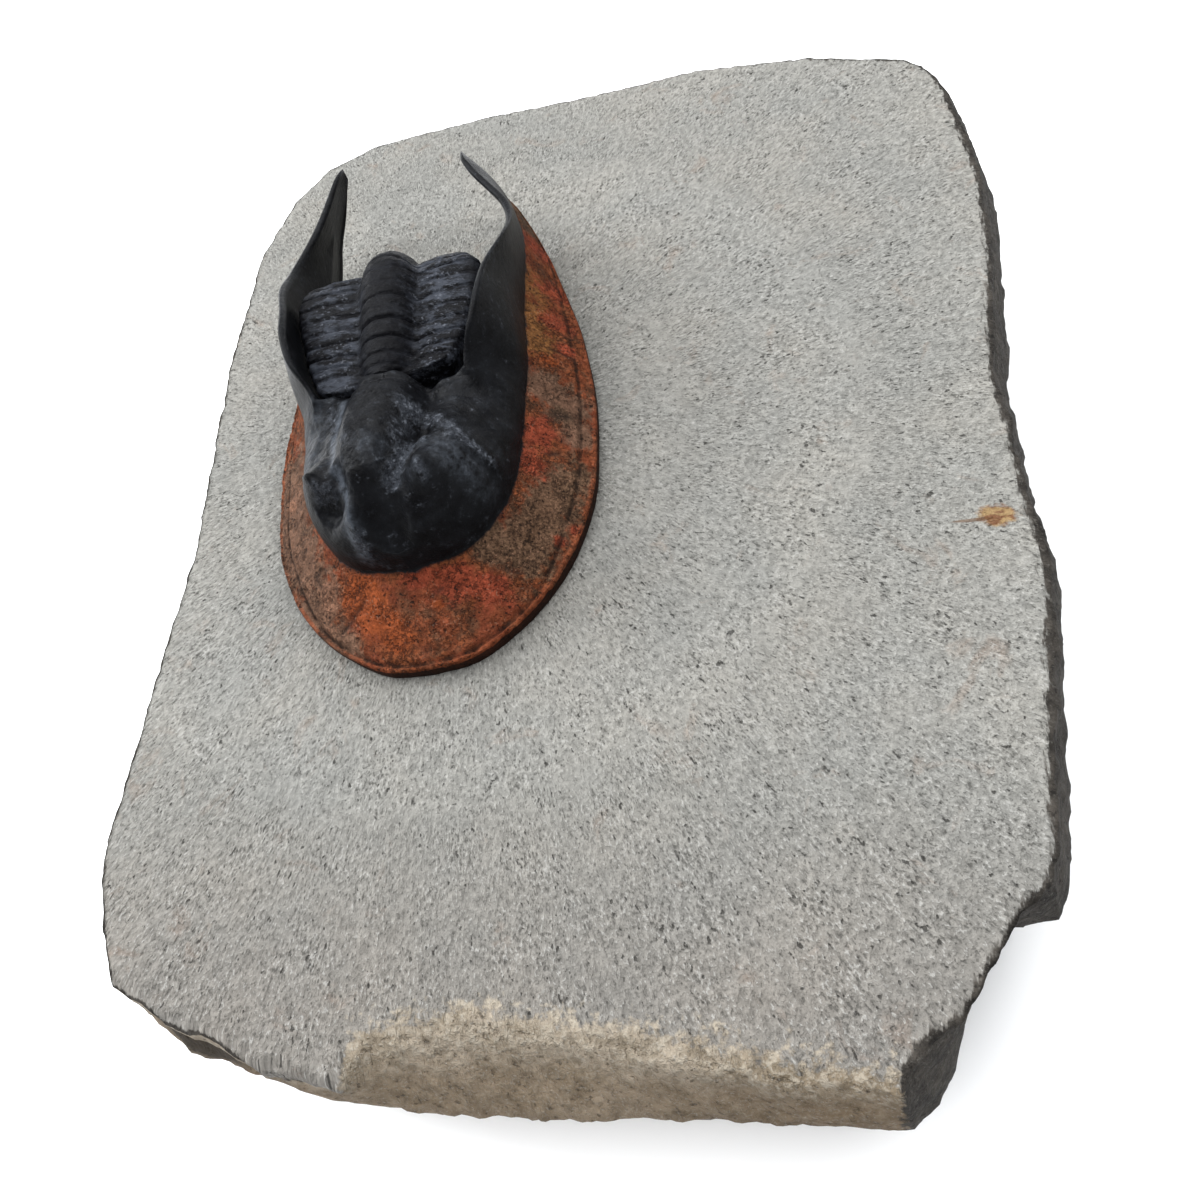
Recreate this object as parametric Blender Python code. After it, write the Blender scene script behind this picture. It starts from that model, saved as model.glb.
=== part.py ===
"""Fossil harpetid trilobite, standing proud on a hand-sized slab of its grey limestone matrix.

The slab lies on the XY plane, long way along Y, and its flat sawn underside is at Z = 0.
The trilobite is modelled in its own frame, which an empty carries on to the slab's top:
X to its right side, Y from the front of its brim to its tail, Z up, and then turned by TURN_DEG.
All sizes below are in millimetres.
"""
import math

import bmesh
import bpy
from mathutils import Vector, noise

MM = 0.001
MERGE = 0.001              # points nearer than this are one
TINY = 0.01                # lengths below this count as nothing
OBJECT_NAME = "fossil_trilobite"

# ---- driving sizes of the slab ----
SLAB_THICKNESS = 20.0
TOP_EDGE = [  # corners of the dressed top face, right rear corner first, turning to the left
    (36.8, 40.0), (35.7, 44.1), (33.4, 47.1), (23.5, 50.8), (11.2, 52.7), (-1.8, 51.9), (-14.3, 52.2),
    (-28.3, 50.9), (-34.0, 48.1), (-37.3, 43.5), (-40.0, 34.2), (-40.0, 17.9), (-37.8, -7.1), (-38.3, -34.2),
    (-37.8, -38.0), (-34.4, -45.5), (-29.3, -48.4), (-25.7, -49.0), (-20.2, -51.2), (-14.5, -52.0),
    (-13.0, -49.2), (-5.0, -47.7), (6.7, -49.0), (17.7, -50.7), (23.2, -51.4), (23.4, -50.0),
    (25.4, -48.1), (27.0, -47.2), (28.3, -45.7), (30.4, -42.4), (31.4, -40.9), (33.7, -39.0),
    (34.4, -36.8), (35.1, -31.6), (37.1, -17.1), (36.2, 4.9), (38.0, 17.2), (38.3, 27.9),
]
BULGE_EDGE = [  # where the broken sides reach furthest out, one point below each point of TOP_EDGE
    (38.9, 42.4), (37.3, 46.2), (34.3, 48.5), (24.0, 51.8), (11.4, 53.2), (-1.8, 52.6), (-14.6, 52.8),
    (-28.8, 51.6), (-34.8, 48.8), (-38.2, 44.0), (-40.5, 34.4), (-40.6, 17.9), (-38.8, -7.2), (-39.2, -34.4),
    (-38.6, -38.4), (-35.2, -46.4), (-30.2, -49.4), (-26.8, -50.4), (-20.4, -51.8), (-14.3, -52.8),
    (-11.0, -53.2), (-2.6, -53.1), (6.0, -52.9), (17.2, -53.0), (23.8, -53.0), (25.6, -51.7),
    (26.6, -50.4), (27.7, -47.6), (28.6, -45.8), (30.9, -42.6), (32.2, -41.6), (34.9, -40.4),
    (35.6, -37.6), (36.5, -31.9), (39.0, -15.5), (38.1, 3.6), (39.6, 17.4), (40.6, 30.4),
]
BULGE_DEPTH = 6.5          # how far below the top face the sides reach furthest out
BASE_INSET = 2.2           # the sides fall in again by this much down to the underside
NOTCH = (31.0, -43.5)      # here the side draws in further below the top edge
NOTCH_REACH = 4.5
NOTCH_DRAW = (-2.0, 2.5)   # by this much at the underside
NOTCH_CURVE = 0.6          # and by this power of the depth's share above it
SIDE_ROUGHNESS = 0.55      # relief of the broken sides
SIDE_LUMP = 6.0            # size of their lumps
SIDE_FINE_LUMPS = (2.3, 0.5)  # smaller lumps on them: how many times finer, how strong
SIDE_SET_BACK = 0.75       # share of the roughness by which the sides lie inside the outline on average
UPPER_SHARES = (0.15, 0.55, 1.0)  # rings of points from the top edge out to the bulge
LOWER_SHARES = (0.33, 0.67)  # and from the bulge down to the underside
SIDE_STEPS = 3             # points between two corners of the outline

# ---- driving sizes of the trilobite ----
TURN_DEG = 6.44            # turn of its axis from the slab's long way
FRONT_TIP = (-10.6, -22.0)  # the front of the brim on the axis, on the slab
SEAT_GAP = 0.3             # clearance between the fossil and the slab or the next piece
SHELL = 0.6                # thickness of the prolongations along their crest
SHELL_START = 0.4          # share of it where they leave the head
SHELL_TIP = (0.15, 4.0)    # share of it at the tip, and the stations over which it thins by a whole share
# One line for each station round the horseshoe, from the front to the tip of a prolongation:
# outer rim (along, across, height), foot of the steep roll, and the crest that the roll climbs to.
STATIONS = [
    ((0.7, 0.0, 1.1), (7.7, 0.0, 5.0), (9.4, 0.0, 12.4)),
    ((1.1, 3.6, 1.1), (8.1, 2.6, 5.0), (9.7, 2.0, 12.2)),
    ((2.7, 6.6, 1.1), (8.8, 4.7, 5.0), (10.2, 3.8, 11.6)),
    ((5.2, 9.6, 1.1), (10.0, 6.3, 5.0), (11.2, 5.2, 11.4)),
    ((8.5, 12.1, 1.1), (12.0, 7.8, 5.0), (12.8, 6.2, 11.4)),
    ((12.4, 13.9, 1.1), (14.6, 9.0, 5.0), (15.0, 6.7, 11.4)),
    ((16.1, 14.9, 1.1), (17.3, 9.5, 5.0), (17.4, 6.9, 11.4)),
    ((20.2, 15.3, 1.0), (20.6, 9.9, 5.0), (20.6, 7.2, 11.0)),
    ((24.2, 15.5, 1.0), (24.0, 10.2, 5.0), (23.0, 6.9, 11.4)),
    ((27.4, 15.4, 1.0), (26.9, 10.5, 5.2), (25.4, 8.3, 13.4)),
    ((30.5, 15.1, 1.0), (29.8, 10.5, 5.2), (28.4, 9.1, 14.0)),
    ((34.4, 14.6, 1.0), (33.6, 10.4, 5.2), (32.0, 9.7, 13.5)),
    ((38.5, 13.7, 1.0), (37.9, 10.6, 5.2), (36.6, 10.9, 12.2)),
    ((42.3, 12.8, 1.0), (41.8, 10.7, 5.2), (40.4, 11.1, 10.7)),
    ((45.8, 12.0, 1.2), (45.2, 10.5, 5.2), (43.6, 10.5, 10.1)),
    ((48.8, 11.2, 2.3), (48.2, 10.0, 6.0), (46.6, 9.2, 10.1)),
    ((50.7, 10.2, 4.3), (50.3, 9.1, 7.4), (49.2, 7.9, 10.5)),
    ((52.1, 8.7, 6.4), (51.9, 8.0, 8.4), (51.4, 7.0, 10.8)),
    ((53.0, 7.5, 8.3), (52.9, 7.1, 9.3), (52.8, 6.6, 10.6)),
    ((53.6, 6.6, 9.9), (53.6, 6.5, 10.1), (53.6, 6.4, 10.3)),
]
HORN_START = 8             # the station where the head ends and the prolongations begin
INNER_FOOT = [6.1, 7.6, 9.0, 10.6, 12.0, 12.2, 11.5, 11.0, 9.9, 8.5, 7.3, 6.4]  # inner foot, from HORN_START
BLADE_START = 12           # the station from which the prolongations lift off as thin blades
BLADE_OVER = 4             # and the stations this takes
INNER_LEAN = (0.5, 0.95)   # how near the rim the inner foot stands along the body, before and after that
INNER_CREST = (-0.2, -0.15)  # the inner edge of the crest against the outer one: along, height
AXIS_END = [10.4, 11.0, 12.2, 13.6, 15.2, 17.0, 18.8, 20.4, 21.6]   # where each head row meets the axis
CREST_FADE = 7.0           # how fast a crest above the cheek falls to it, towards the axis
CREST_SHARE = 0.72         # how far out the crest of the head's roll lies, from the axis end to the foot
ROLL_CLOSING = 1.5         # how much the head's rows close up towards the roll's foot
DOME_SQUARENESS = 4        # how flat-topped the dome, the glabella and the rear bow are
REAR_REACH = 1.5           # how far the head's rear margin bows back behind the glabella
REAR_HALF_WIDTH = (4.2, 2.9)  # half width of that bow, left and right
REAR_OVER = 3              # the rows before the rear one that share in it
REAR_FADE = 6              # how late the bow fades towards the crest
CHEEK_TOP = [(7.0, 11.8), (12.0, 12.0), (15.0, 11.9), (18.0, 11.2), (20.5, 10.5), (24.0, 10.1)]
GLABELLA = [  # along, height, half width
    (9.6, 11.6, 1.4), (10.8, 13.0, 1.5), (12.0, 14.0, 1.8), (14.0, 14.6, 2.4), (16.0, 14.5, 2.8),
    (18.5, 13.9, 3.0), (21.0, 13.0, 3.0), (23.4, 12.0, 2.7),
]
GLABELLA_AXIS = -0.45      # it lies this much to the left
GLABELLA_FRONT = (9.4, 2.2)  # where it starts to rise, and over what length
FURROW_WIDTH = 0.8         # of the trough beside the glabella
FURROW_DEPTH = 0.6
FURROW_FADE = 3            # how fast the trough ends towards the roll's foot
# mounds and hollows of the dome: across, along, radius, height; the eyes, each with its tubercle,
# then the hollow below the left eye and the one in front of the glabella
MOUNDS = [
    (4.4, 12.3, 3.8, 1.8), (4.3, 11.2, 1.9, 1.2), (-5.5, 13.2, 3.2, 1.5), (-6.0, 12.7, 1.3, 0.8),
    (-4.4, 10.9, 1.8, -0.8), (0.6, 10.0, 2.2, -0.9),
]
TIP_UNEVEN = 1.2           # the left prolongation runs on by this much, the right one stops short by it
TIP_LEAN = 0.4             # and both lean this much to the left
TIP_UNEVEN_OVER = (43.0, 53.0)
ROLL_BULGE = 0.9           # how far the steep roll stands out from a straight slope
ROLL_FULL_WIDTH = 2.5      # a narrower roll bulges less
RIM_THICKNESS = 0.8
LIP = (0.45, 0.25)         # the marginal rim: width, height
GROOVE = 1.1               # the furrow inside it, from the edge
BRIM_FULL_WIDTH = 4.0      # a narrower brim has a smaller lip and furrow
STATION_STEPS = 3
BRIM_STEPS = 3
ROLL_STEPS = 4
ACROSS_STEPS = 11

THORAX_SHIFT = -0.6        # the body lies this much to the left of the head's axis
SPINE = [  # top of the axial lobe: along, height, half width over the pleurae
    (23.65, 11.8, 4.0), (24.5, 12.0, 5.8), (27.2, 12.2, 7.1), (30.2, 12.4, 7.9), (33.5, 12.7, 8.6),
    (36.0, 12.8, 8.5), (37.8, 12.2, 7.8), (39.4, 10.7, 6.9), (41.2, 8.2, 5.8), (42.8, 5.3, 4.7),
    (44.2, 2.2, 3.7),
]
TAIL_SPINE = [(44.8, 1.7, 3.4), (45.8, 1.3, 3.0), (46.7, 1.0, 2.2), (47.4, 0.7, 1.0)]
AXIS_RISE = (1.1, 1.9)     # of the axial lobe over its furrows, at the front and where it is broadest
AXIS_RISE_HALF_WIDTH = (4.4, 8.5)
RIDGE_RISE = 0.22          # of each segment over the joint line
ROWS_PER_SEGMENT = 3
THORAX_RINGS = 19
TAIL_RINGS = 3
SLOPE_STEP = 0.05          # the slope of the spine is taken over this share of its interval, each way
LEAST_STEP = 0.1           # from each row of points to the next, along the body
LEAST_HEIGHT = 0.25        # of the ends of the pleurae above the seat
THORAX_UNDERCUT = 2.2      # the sides draw in below the ends of the pleurae
UNDERCUT_SHARE = 0.3       # but by no more than this share of the half width
FLANK = (0.4, 0.55)        # the point between: share of the undercut, share of the height
RING_PROFILE = [  # across, as a share of the half width; height against the axis top, share of AXIS_RISE
    (0.0, 0.0), (0.12, -0.08), (0.23, -0.42), (0.32, -0.95), (0.42, -0.92), (0.6, -0.85), (0.8, -0.85),
    (0.94, -0.95), (1.0, -1.3),
]

COLOURS = {
    "limestone": ((0.40, 0.39, 0.36), 0.95),
    "cephalon_calcite": ((0.12, 0.055, 0.035), 0.5),
    "thorax_calcite": ((0.022, 0.023, 0.028), 0.42),
    "pygidium_calcite": ((0.022, 0.023, 0.028), 0.45),
}


def clear_scene():
    """Start from an empty scene."""
    for old in list(bpy.data.objects):
        bpy.data.objects.remove(old, do_unlink=True)


def make_material(name):
    """A Principled material in the colour and roughness of COLOURS."""
    colour, roughness = COLOURS[name]
    material = bpy.data.materials.new(name)
    material.use_nodes = True
    shader = material.node_tree.nodes["Principled BSDF"]
    shader.inputs["Base Color"].default_value = (*colour, 1.0)
    shader.inputs["Roughness"].default_value = roughness
    shader.inputs["Metallic"].default_value = 0.0
    material.diffuse_color = (*colour, 1.0)
    return material


def add_object(name, bm, material, collection, parent=None):
    """Turn a bmesh in millimetres into a named object with outward faces, in metres."""
    bmesh.ops.recalc_face_normals(bm, faces=bm.faces)
    bmesh.ops.scale(bm, vec=(MM, MM, MM), verts=bm.verts)
    mesh = bpy.data.meshes.new(name)
    bm.to_mesh(mesh)
    bm.free()
    mesh.materials.append(make_material(material))
    made = bpy.data.objects.new(name, mesh)
    collection.objects.link(made)
    made.parent = parent
    return made


def curve_point(points, at):
    """A point on the smooth curve through the points; at runs from 0 to the last index."""
    first = min(int(at), len(points) - 2)
    share = at - first
    knots = [Vector(points[max(0, min(len(points) - 1, first + step))]) for step in (-1, 0, 1, 2)]
    before, start, end, after = knots
    slope_in = (end - before) * 0.5
    slope_out = (after - start) * 0.5
    return (
        start * (2 * share**3 - 3 * share**2 + 1)
        + slope_in * (share**3 - 2 * share**2 + share)
        + end * (3 * share**2 - 2 * share**3)
        + slope_out * (share**3 - share**2)
    )


def height_at(table, along):
    """Read a table of (along, height) pairs, straight between its entries."""
    if along <= table[0][0]:
        return table[0][1]
    for (start, low), (end, high) in zip(table, table[1:]):
        if along <= end:
            return low + (high - low) * (along - start) / (end - start)
    return table[-1][1]


def curve_by_first(table, value):
    """The point of the smooth curve through a table, where its first number has the given value."""
    value = max(table[0][0], min(table[-1][0], value))
    for number in range(len(table) - 1):
        start, end = table[number][0], table[number + 1][0]
        if value <= end:
            return curve_point(table, number + (value - start) / (end - start))
    return Vector(table[-1])


def ease(share):
    """Go smoothly from 0 to 1."""
    share = max(0.0, min(1.0, share))
    return share * share * (3 - 2 * share)


def bump(distance, radius, height):
    """A rounded bump."""
    return height * (1 - (distance / radius) ** 2) ** 2 if distance < radius else 0.0


def strip(bm, row, next_row):
    """Faces between two rows of vertices; a vertex that both rows share closes to a triangle."""
    for place in range(len(row) - 1):
        corners = [row[place], row[place + 1], next_row[place + 1], next_row[place]]
        faces = list(dict.fromkeys(corners))
        if len(faces) > 2:
            bm.faces.new(faces)


# ---- slab ----
def slab_ring(share, height, inset):
    """One ring round the slab: share 0 is the top edge and 1 the bulge; inset draws it in."""
    ring = []
    count = len(TOP_EDGE)
    depth = ((SLAB_THICKNESS - height) / SLAB_THICKNESS) ** NOTCH_CURVE
    for corner in range(count):
        for step in range(SIDE_STEPS):
            part = step / SIDE_STEPS
            top = Vector(TOP_EDGE[corner]).lerp(Vector(TOP_EDGE[(corner + 1) % count]), part)
            bulge = Vector(BULGE_EDGE[corner]).lerp(Vector(BULGE_EDGE[(corner + 1) % count]), part)
            point = top.lerp(bulge, share)
            point -= point.normalized() * inset
            at_notch = math.exp(-(((bulge - Vector(NOTCH)).length / NOTCH_REACH) ** 2))
            point += Vector(NOTCH_DRAW) * at_notch * depth
            ring.append(Vector((point.x, point.y, height)))
    return ring


def roughen(point, amount):
    """Move a point of the broken side in or out, by a noise that follows its place."""
    finer, strength = SIDE_FINE_LUMPS
    lump = noise.noise(point / SIDE_LUMP) + strength * noise.noise(point * finer / SIDE_LUMP)
    outward = Vector((point.x, point.y, 0.0)).normalized()
    return point - outward * amount * (SIDE_SET_BACK + lump)


def make_slab(collection):
    """The matrix: a flat dressed top, rough broken sides and a flat sawn underside."""
    top = SLAB_THICKNESS
    rings = [slab_ring(0.0, top, 0.0)]
    for share in UPPER_SHARES:
        ring = slab_ring(share, top - share * BULGE_DEPTH, 0.0)
        rings.append([roughen(point, SIDE_ROUGHNESS * min(1.0, 2 * share)) for point in ring])
    for share in LOWER_SHARES:
        height = (top - BULGE_DEPTH) * (1 - share)
        ring = slab_ring(1.0, height, BASE_INSET * share)
        rings.append([roughen(point, SIDE_ROUGHNESS) for point in ring])
    rings.append(slab_ring(1.0, 0.0, BASE_INSET))
    bm = bmesh.new()
    loops = [[bm.verts.new(point) for point in ring] for ring in rings]
    for upper, lower in zip(loops, loops[1:]):
        strip(bm, upper + upper[:1], lower + lower[:1])
    bm.faces.new(loops[0])
    bm.faces.new(reversed(loops[-1]))
    return add_object("matrix_slab", bm, "limestone", collection)


# ---- head shield ----
def dome_height(point, side, share):
    """Height of the head's top; side is 1 on the right, share is 0 on the axis and 1 at the roll's foot."""
    along, across = point.x, point.y * side
    foot_height = STATIONS[0][1][2]
    top = height_at(CHEEK_TOP, along)
    height = foot_height + (top - foot_height) * math.sqrt(max(0.0, 1 - share**DOME_SQUARENESS))
    glabella = curve_by_first(GLABELLA, along)
    from_axis = abs(across - GLABELLA_AXIS)
    start, length = GLABELLA_FRONT
    risen = ease((along - start) / length)
    height += (glabella.y - height) * math.exp(-((from_axis / glabella.z) ** DOME_SQUARENESS)) * risen
    trough = (from_axis - glabella.z - FURROW_WIDTH) / FURROW_WIDTH
    height -= FURROW_DEPTH * math.exp(-trough * trough) * ease((1 - share) * FURROW_FADE) * risen
    for middle, behind, radius, rise in MOUNDS:
        height += bump(math.hypot(across - middle, along - behind), radius, rise)
    return height


def brim_row(at):
    """Points of the rim, its lip and the brim, up to the foot of the roll."""
    rim = curve_point([station[0] for station in STATIONS], at)
    foot = curve_point([station[1] for station in STATIONS], at)
    inward = foot - rim
    width = max(inward.length, TINY)
    inward = inward / width
    thick = min(rim.z - SEAT_GAP, RIM_THICKNESS)
    scale = min(1.0, width / BRIM_FULL_WIDTH)
    points = [
        rim - Vector((0, 0, thick)),
        rim,
        rim + inward * LIP[0] * scale + Vector((0, 0, LIP[1] * scale)),
        rim + inward * GROOVE * scale,
    ]
    for step in range(1, BRIM_STEPS + 1):
        points.append(points[3].lerp(foot, step / BRIM_STEPS))
    return points


def head_row(at, side):
    """A head station's points on one side, from under the rim to the axis."""
    points = brim_row(at)
    foot = points[-1]
    end = Vector((curve_point([(along, 0.0) for along in AXIS_END], at).x, 0.0, 0.0))
    to_horn = ease(at - HORN_START + 1)
    for step, target in enumerate(roll_points(foot, at), start=1):
        share = 1 - (1 - CREST_SHARE) * (step / ROLL_STEPS) ** ROLL_CLOSING
        point = end.lerp(foot, share)
        point.z = dome_height(point, side, share)
        points.append(point.lerp(target, to_horn))
    crest = points[-1].copy()
    step_up = crest.z - dome_height(crest, side, CREST_SHARE)
    reach = REAR_REACH * ease((at - HORN_START + REAR_OVER) / REAR_OVER)
    half = REAR_HALF_WIDTH[1 if side > 0 else 0]
    for step in range(1, ACROSS_STEPS + 1):
        share = 1 - step / ACROSS_STEPS
        point = end.lerp(crest, share)
        from_axis = point.y * side - GLABELLA_AXIS
        bow = math.exp(-((from_axis / half) ** DOME_SQUARENESS)) * (1 - share**REAR_FADE)
        point.x += reach * bow
        over_cheek = step_up * math.exp((share - 1) * CREST_FADE)
        point.z = dome_height(point, side, CREST_SHARE * share) + over_cheek
        points.append(point)
    return points


def roll_points(foot, at):
    """The steep outer face above the brim of a prolongation, bulging a little."""
    crest = curve_point([station[2] for station in STATIONS], at)
    climb = crest - foot
    outward = Vector((climb.x, climb.y, 0.0))
    bulge = ROLL_BULGE * min(1.0, outward.length / ROLL_FULL_WIDTH)
    outward = -outward.normalized() if outward.length > TINY else Vector()
    points = []
    for step in range(1, ROLL_STEPS + 1):
        share = step / ROLL_STEPS
        points.append(foot.lerp(crest, share) + outward * bulge * math.sin(math.pi * share))
    return points


def across_at(row, height):
    """How far across the axis the outside of a row lies at a height."""
    for lower, upper in zip(row[1:], row[2:]):
        if lower.z <= height <= upper.z:
            return lower.lerp(upper, (height - lower.z) / max(upper.z - lower.z, 0.001)).y
    return row[1].y if height < row[1].z else row[-1].y


def horn_row(at):
    """A prolongation's station: up its outside as far as the crest and down its inner face."""
    points = brim_row(at)
    points += roll_points(points[-1], at)
    outside = list(points)
    crest, rim_foot = points[-1].copy(), points[0]
    inner = curve_point([(value, 0.0) for value in INNER_FOOT], at - HORN_START).x
    last = len(STATIONS) - 1
    apart = ease(at - HORN_START)
    at_tip, thins_over = SHELL_TIP
    shell = SHELL * min(SHELL_START + (1 - SHELL_START) * apart, at_tip + (last - at) / thins_over)
    inner_crest = crest + Vector((INNER_CREST[0] * apart, -shell, INNER_CREST[1]))
    before, after = INNER_LEAN
    lean = before + (after - before) * ease((at - BLADE_START) / BLADE_OVER)
    inner_foot = Vector((crest.x + (rim_foot.x - crest.x) * lean, inner, rim_foot.z))
    for step in range(ACROSS_STEPS):
        point = inner_crest.lerp(inner_foot, step / (ACROSS_STEPS - 1))
        point.y = min(point.y, across_at(outside, point.z) - shell)
        points.append(point)
    return points


def uneven_tip(point):
    """The two prolongations aren't quite the same length."""
    side = 1.0 if point.x < 0 else -1.0
    start, end = TIP_UNEVEN_OVER
    share = ease((point.y - start) / (end - start))
    point.y += side * TIP_UNEVEN * share
    point.x -= TIP_LEAN * share


def to_piece(point, side):
    """From (along, across, height) on one side to the trilobite's X, Y and Z."""
    return Vector((point.y * side, point.x, point.z))


def add_side(bm, side):
    """One side of the head with its prolongation; side is 1 on the right and -1 on the left."""

    def rows_of(rows):
        return [[bm.verts.new(to_piece(point, side)) for point in row] for row in rows]

    steps = HORN_START * STATION_STEPS
    head_rows = rows_of(head_row(step / STATION_STEPS, side) for step in range(steps + 1))
    corner = len(head_rows[0]) - ACROSS_STEPS - 1
    last_head = head_rows[-1]
    steps = (len(STATIONS) - 1 - HORN_START) * STATION_STEPS
    points = [horn_row(HORN_START + step / STATION_STEPS) for step in range(steps + 1)]
    points[0] = points[0][corner + 1:]
    horn_rows = rows_of(points)
    horn_rows[0] = last_head[: corner + 1] + horn_rows[0]
    for row, next_row in zip(head_rows, head_rows[1:]):
        strip(bm, row, next_row)
    for row, next_row in zip(horn_rows, horn_rows[1:]):
        strip(bm, row + row[:1], next_row + next_row[:1])
    bm.faces.new(horn_rows[-1])
    # the rear wall of the head hangs from its last row and stands beside the first inner face
    upper = last_head[corner:]
    wall = horn_rows[0][corner + 1:]
    floor = wall[-1].co.z
    for depth in range(ACROSS_STEPS):
        lower = [wall[depth]]
        narrowed = wall[depth].co.x / last_head[corner].co.x
        for top in last_head[corner + 1:]:
            height = top.co.z + (floor - top.co.z) * (depth + 1) / ACROSS_STEPS
            lower.append(bm.verts.new((top.co.x * narrowed, top.co.y, height)))
        strip(bm, upper, lower)
        upper = lower


def make_cephalon(collection, parent):
    """Head shield: horseshoe brim, steep dome with eyes and glabella, and two prolongations."""
    bm = bmesh.new()
    add_side(bm, 1)
    add_side(bm, -1)
    bmesh.ops.remove_doubles(bm, verts=bm.verts, dist=MERGE)
    open_edges = [edge for edge in bm.edges if edge.is_boundary]
    bmesh.ops.holes_fill(bm, edges=open_edges, sides=0)
    for vertex in bm.verts:
        uneven_tip(vertex.co)
    bmesh.ops.triangulate(bm, faces=[face for face in bm.faces if len(face.verts) > 4])
    return add_object("cephalon", bm, "cephalon_calcite", collection, parent)


# ---- thorax and tail ----
def ringed_body(name, spine, rings, collection, parent, material):
    """A row of arched rings on a curved spine, solid down to the slab."""
    bm = bmesh.new()
    rows = []
    reached = [0.0] * (len(RING_PROFILE) + 2)
    count = rings * ROWS_PER_SEGMENT
    for row_number in range(count + 1):
        at = (len(spine) - 1) * row_number / count
        along, height, half = curve_point(spine, at)
        ahead = curve_point(spine, min(at + SLOPE_STEP, len(spine) - 1.0))
        behind = curve_point(spine, max(at - SLOPE_STEP, 0.0))
        lean = Vector((-(ahead.y - behind.y), ahead.x - behind.x)).normalized()
        step = row_number % ROWS_PER_SEGMENT
        ridge = RIDGE_RISE * math.sin(math.pi * step / ROWS_PER_SEGMENT) if step else -RIDGE_RISE
        low, high = AXIS_RISE_HALF_WIDTH
        rise = AXIS_RISE[0] + (AXIS_RISE[1] - AXIS_RISE[0]) * ease((half - low) / (high - low))
        rise *= min(1.0, half / low)
        right = []
        for across_share, drop in RING_PROFILE:
            lift = drop * rise + ridge
            place = Vector((along, height)) + lean * lift
            right.append(Vector((half * across_share, place.x, max(place.y, SEAT_GAP + LEAST_HEIGHT))))
        side = right[-1]
        undercut = min(THORAX_UNDERCUT, half * UNDERCUT_SHARE)
        right.append(Vector((half - FLANK[0] * undercut, side.y, SEAT_GAP + (side.z - SEAT_GAP) * FLANK[1])))
        right.append(Vector((half - undercut, side.y, SEAT_GAP)))
        for number, point in enumerate(right):
            point.y = max(point.y, reached[number] + LEAST_STEP)
            reached[number] = point.y
        left = [Vector((-point.x, point.y, point.z)) for point in reversed(right[1:])]
        shift = Vector((THORAX_SHIFT, 0.0, 0.0))
        rows.append([bm.verts.new(point + shift) for point in left + right])
    for row, next_row in zip(rows, rows[1:]):
        strip(bm, row, next_row)
        bm.faces.new((row[0], next_row[0], next_row[-1], row[-1]))
    bm.faces.new(rows[0])
    bm.faces.new(reversed(rows[-1]))
    bmesh.ops.triangulate(bm, faces=[face for face in bm.faces if len(face.verts) > 4])
    return add_object(name, bm, material, collection, parent)


def main():
    """Build the slab, and the trilobite on it."""
    clear_scene()
    parts = bpy.data.collections.new(OBJECT_NAME)
    bpy.context.scene.collection.children.link(parts)
    make_slab(parts)
    carrier = bpy.data.objects.new("trilobite_frame", None)
    carrier.location = (FRONT_TIP[0] * MM, FRONT_TIP[1] * MM, SLAB_THICKNESS * MM)
    carrier.rotation_euler = (0.0, 0.0, math.radians(TURN_DEG))
    parts.objects.link(carrier)
    make_cephalon(parts, carrier)
    ringed_body("thorax", SPINE, THORAX_RINGS, parts, carrier, "thorax_calcite")
    ringed_body("pygidium", TAIL_SPINE, TAIL_RINGS, parts, carrier, "pygidium_calcite")


main()
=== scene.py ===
"""A fossil harpetid trilobite on its limestone slab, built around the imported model. Sizes in millimetres."""

import math

import bmesh
import bpy
import numpy as np
from mathutils import Matrix, Vector, geometry, noise


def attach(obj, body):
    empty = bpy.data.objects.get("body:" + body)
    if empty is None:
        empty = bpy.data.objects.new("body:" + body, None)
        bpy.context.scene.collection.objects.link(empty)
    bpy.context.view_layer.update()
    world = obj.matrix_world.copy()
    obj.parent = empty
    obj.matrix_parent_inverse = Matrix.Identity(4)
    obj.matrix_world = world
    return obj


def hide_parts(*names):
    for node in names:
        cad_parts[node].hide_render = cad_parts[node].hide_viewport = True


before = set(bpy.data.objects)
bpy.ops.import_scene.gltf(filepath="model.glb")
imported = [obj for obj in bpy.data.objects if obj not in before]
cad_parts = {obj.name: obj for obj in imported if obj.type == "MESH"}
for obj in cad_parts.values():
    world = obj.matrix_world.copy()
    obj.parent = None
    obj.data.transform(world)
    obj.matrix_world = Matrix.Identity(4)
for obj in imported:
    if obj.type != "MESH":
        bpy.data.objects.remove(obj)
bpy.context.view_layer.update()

MM = 0.001
SLAB_TOP = 20.0
TURN = math.radians(6.44)  # the trilobite lies turned by this on the slab
FRONT_TIP = (-10.6, -22.0)  # where the front of its brim lies
WELD = 0.0005              # points closer than this become one

# ---- camera, as solved from the photo ----
camera_data = bpy.data.cameras.new("camera")
camera = bpy.data.objects.new("camera", camera_data)
bpy.context.scene.collection.objects.link(camera)
bpy.context.scene.camera = camera
RIGHT = (0.96854042, 0.04117657, -0.24542607)
UP = (0.08481502, 0.87255112, 0.4811039)
BACK = (0.233957, -0.48678439, 0.84160863)
EYE_POINT = (21.9 * MM, -54.9 * MM, 88.0 * MM)
SENSOR_WIDTH = 36.0
FOCAL_PIXELS, PHOTO_PIXELS = 993.04, 1200
camera.matrix_world = Matrix([*zip(RIGHT, UP, BACK, EYE_POINT), (0, 0, 0, 1)])
camera_data.sensor_width = SENSOR_WIDTH
camera_data.lens = SENSOR_WIDTH * FOCAL_PIXELS / PHOTO_PIXELS
camera_data.clip_start = 0.001


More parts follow.
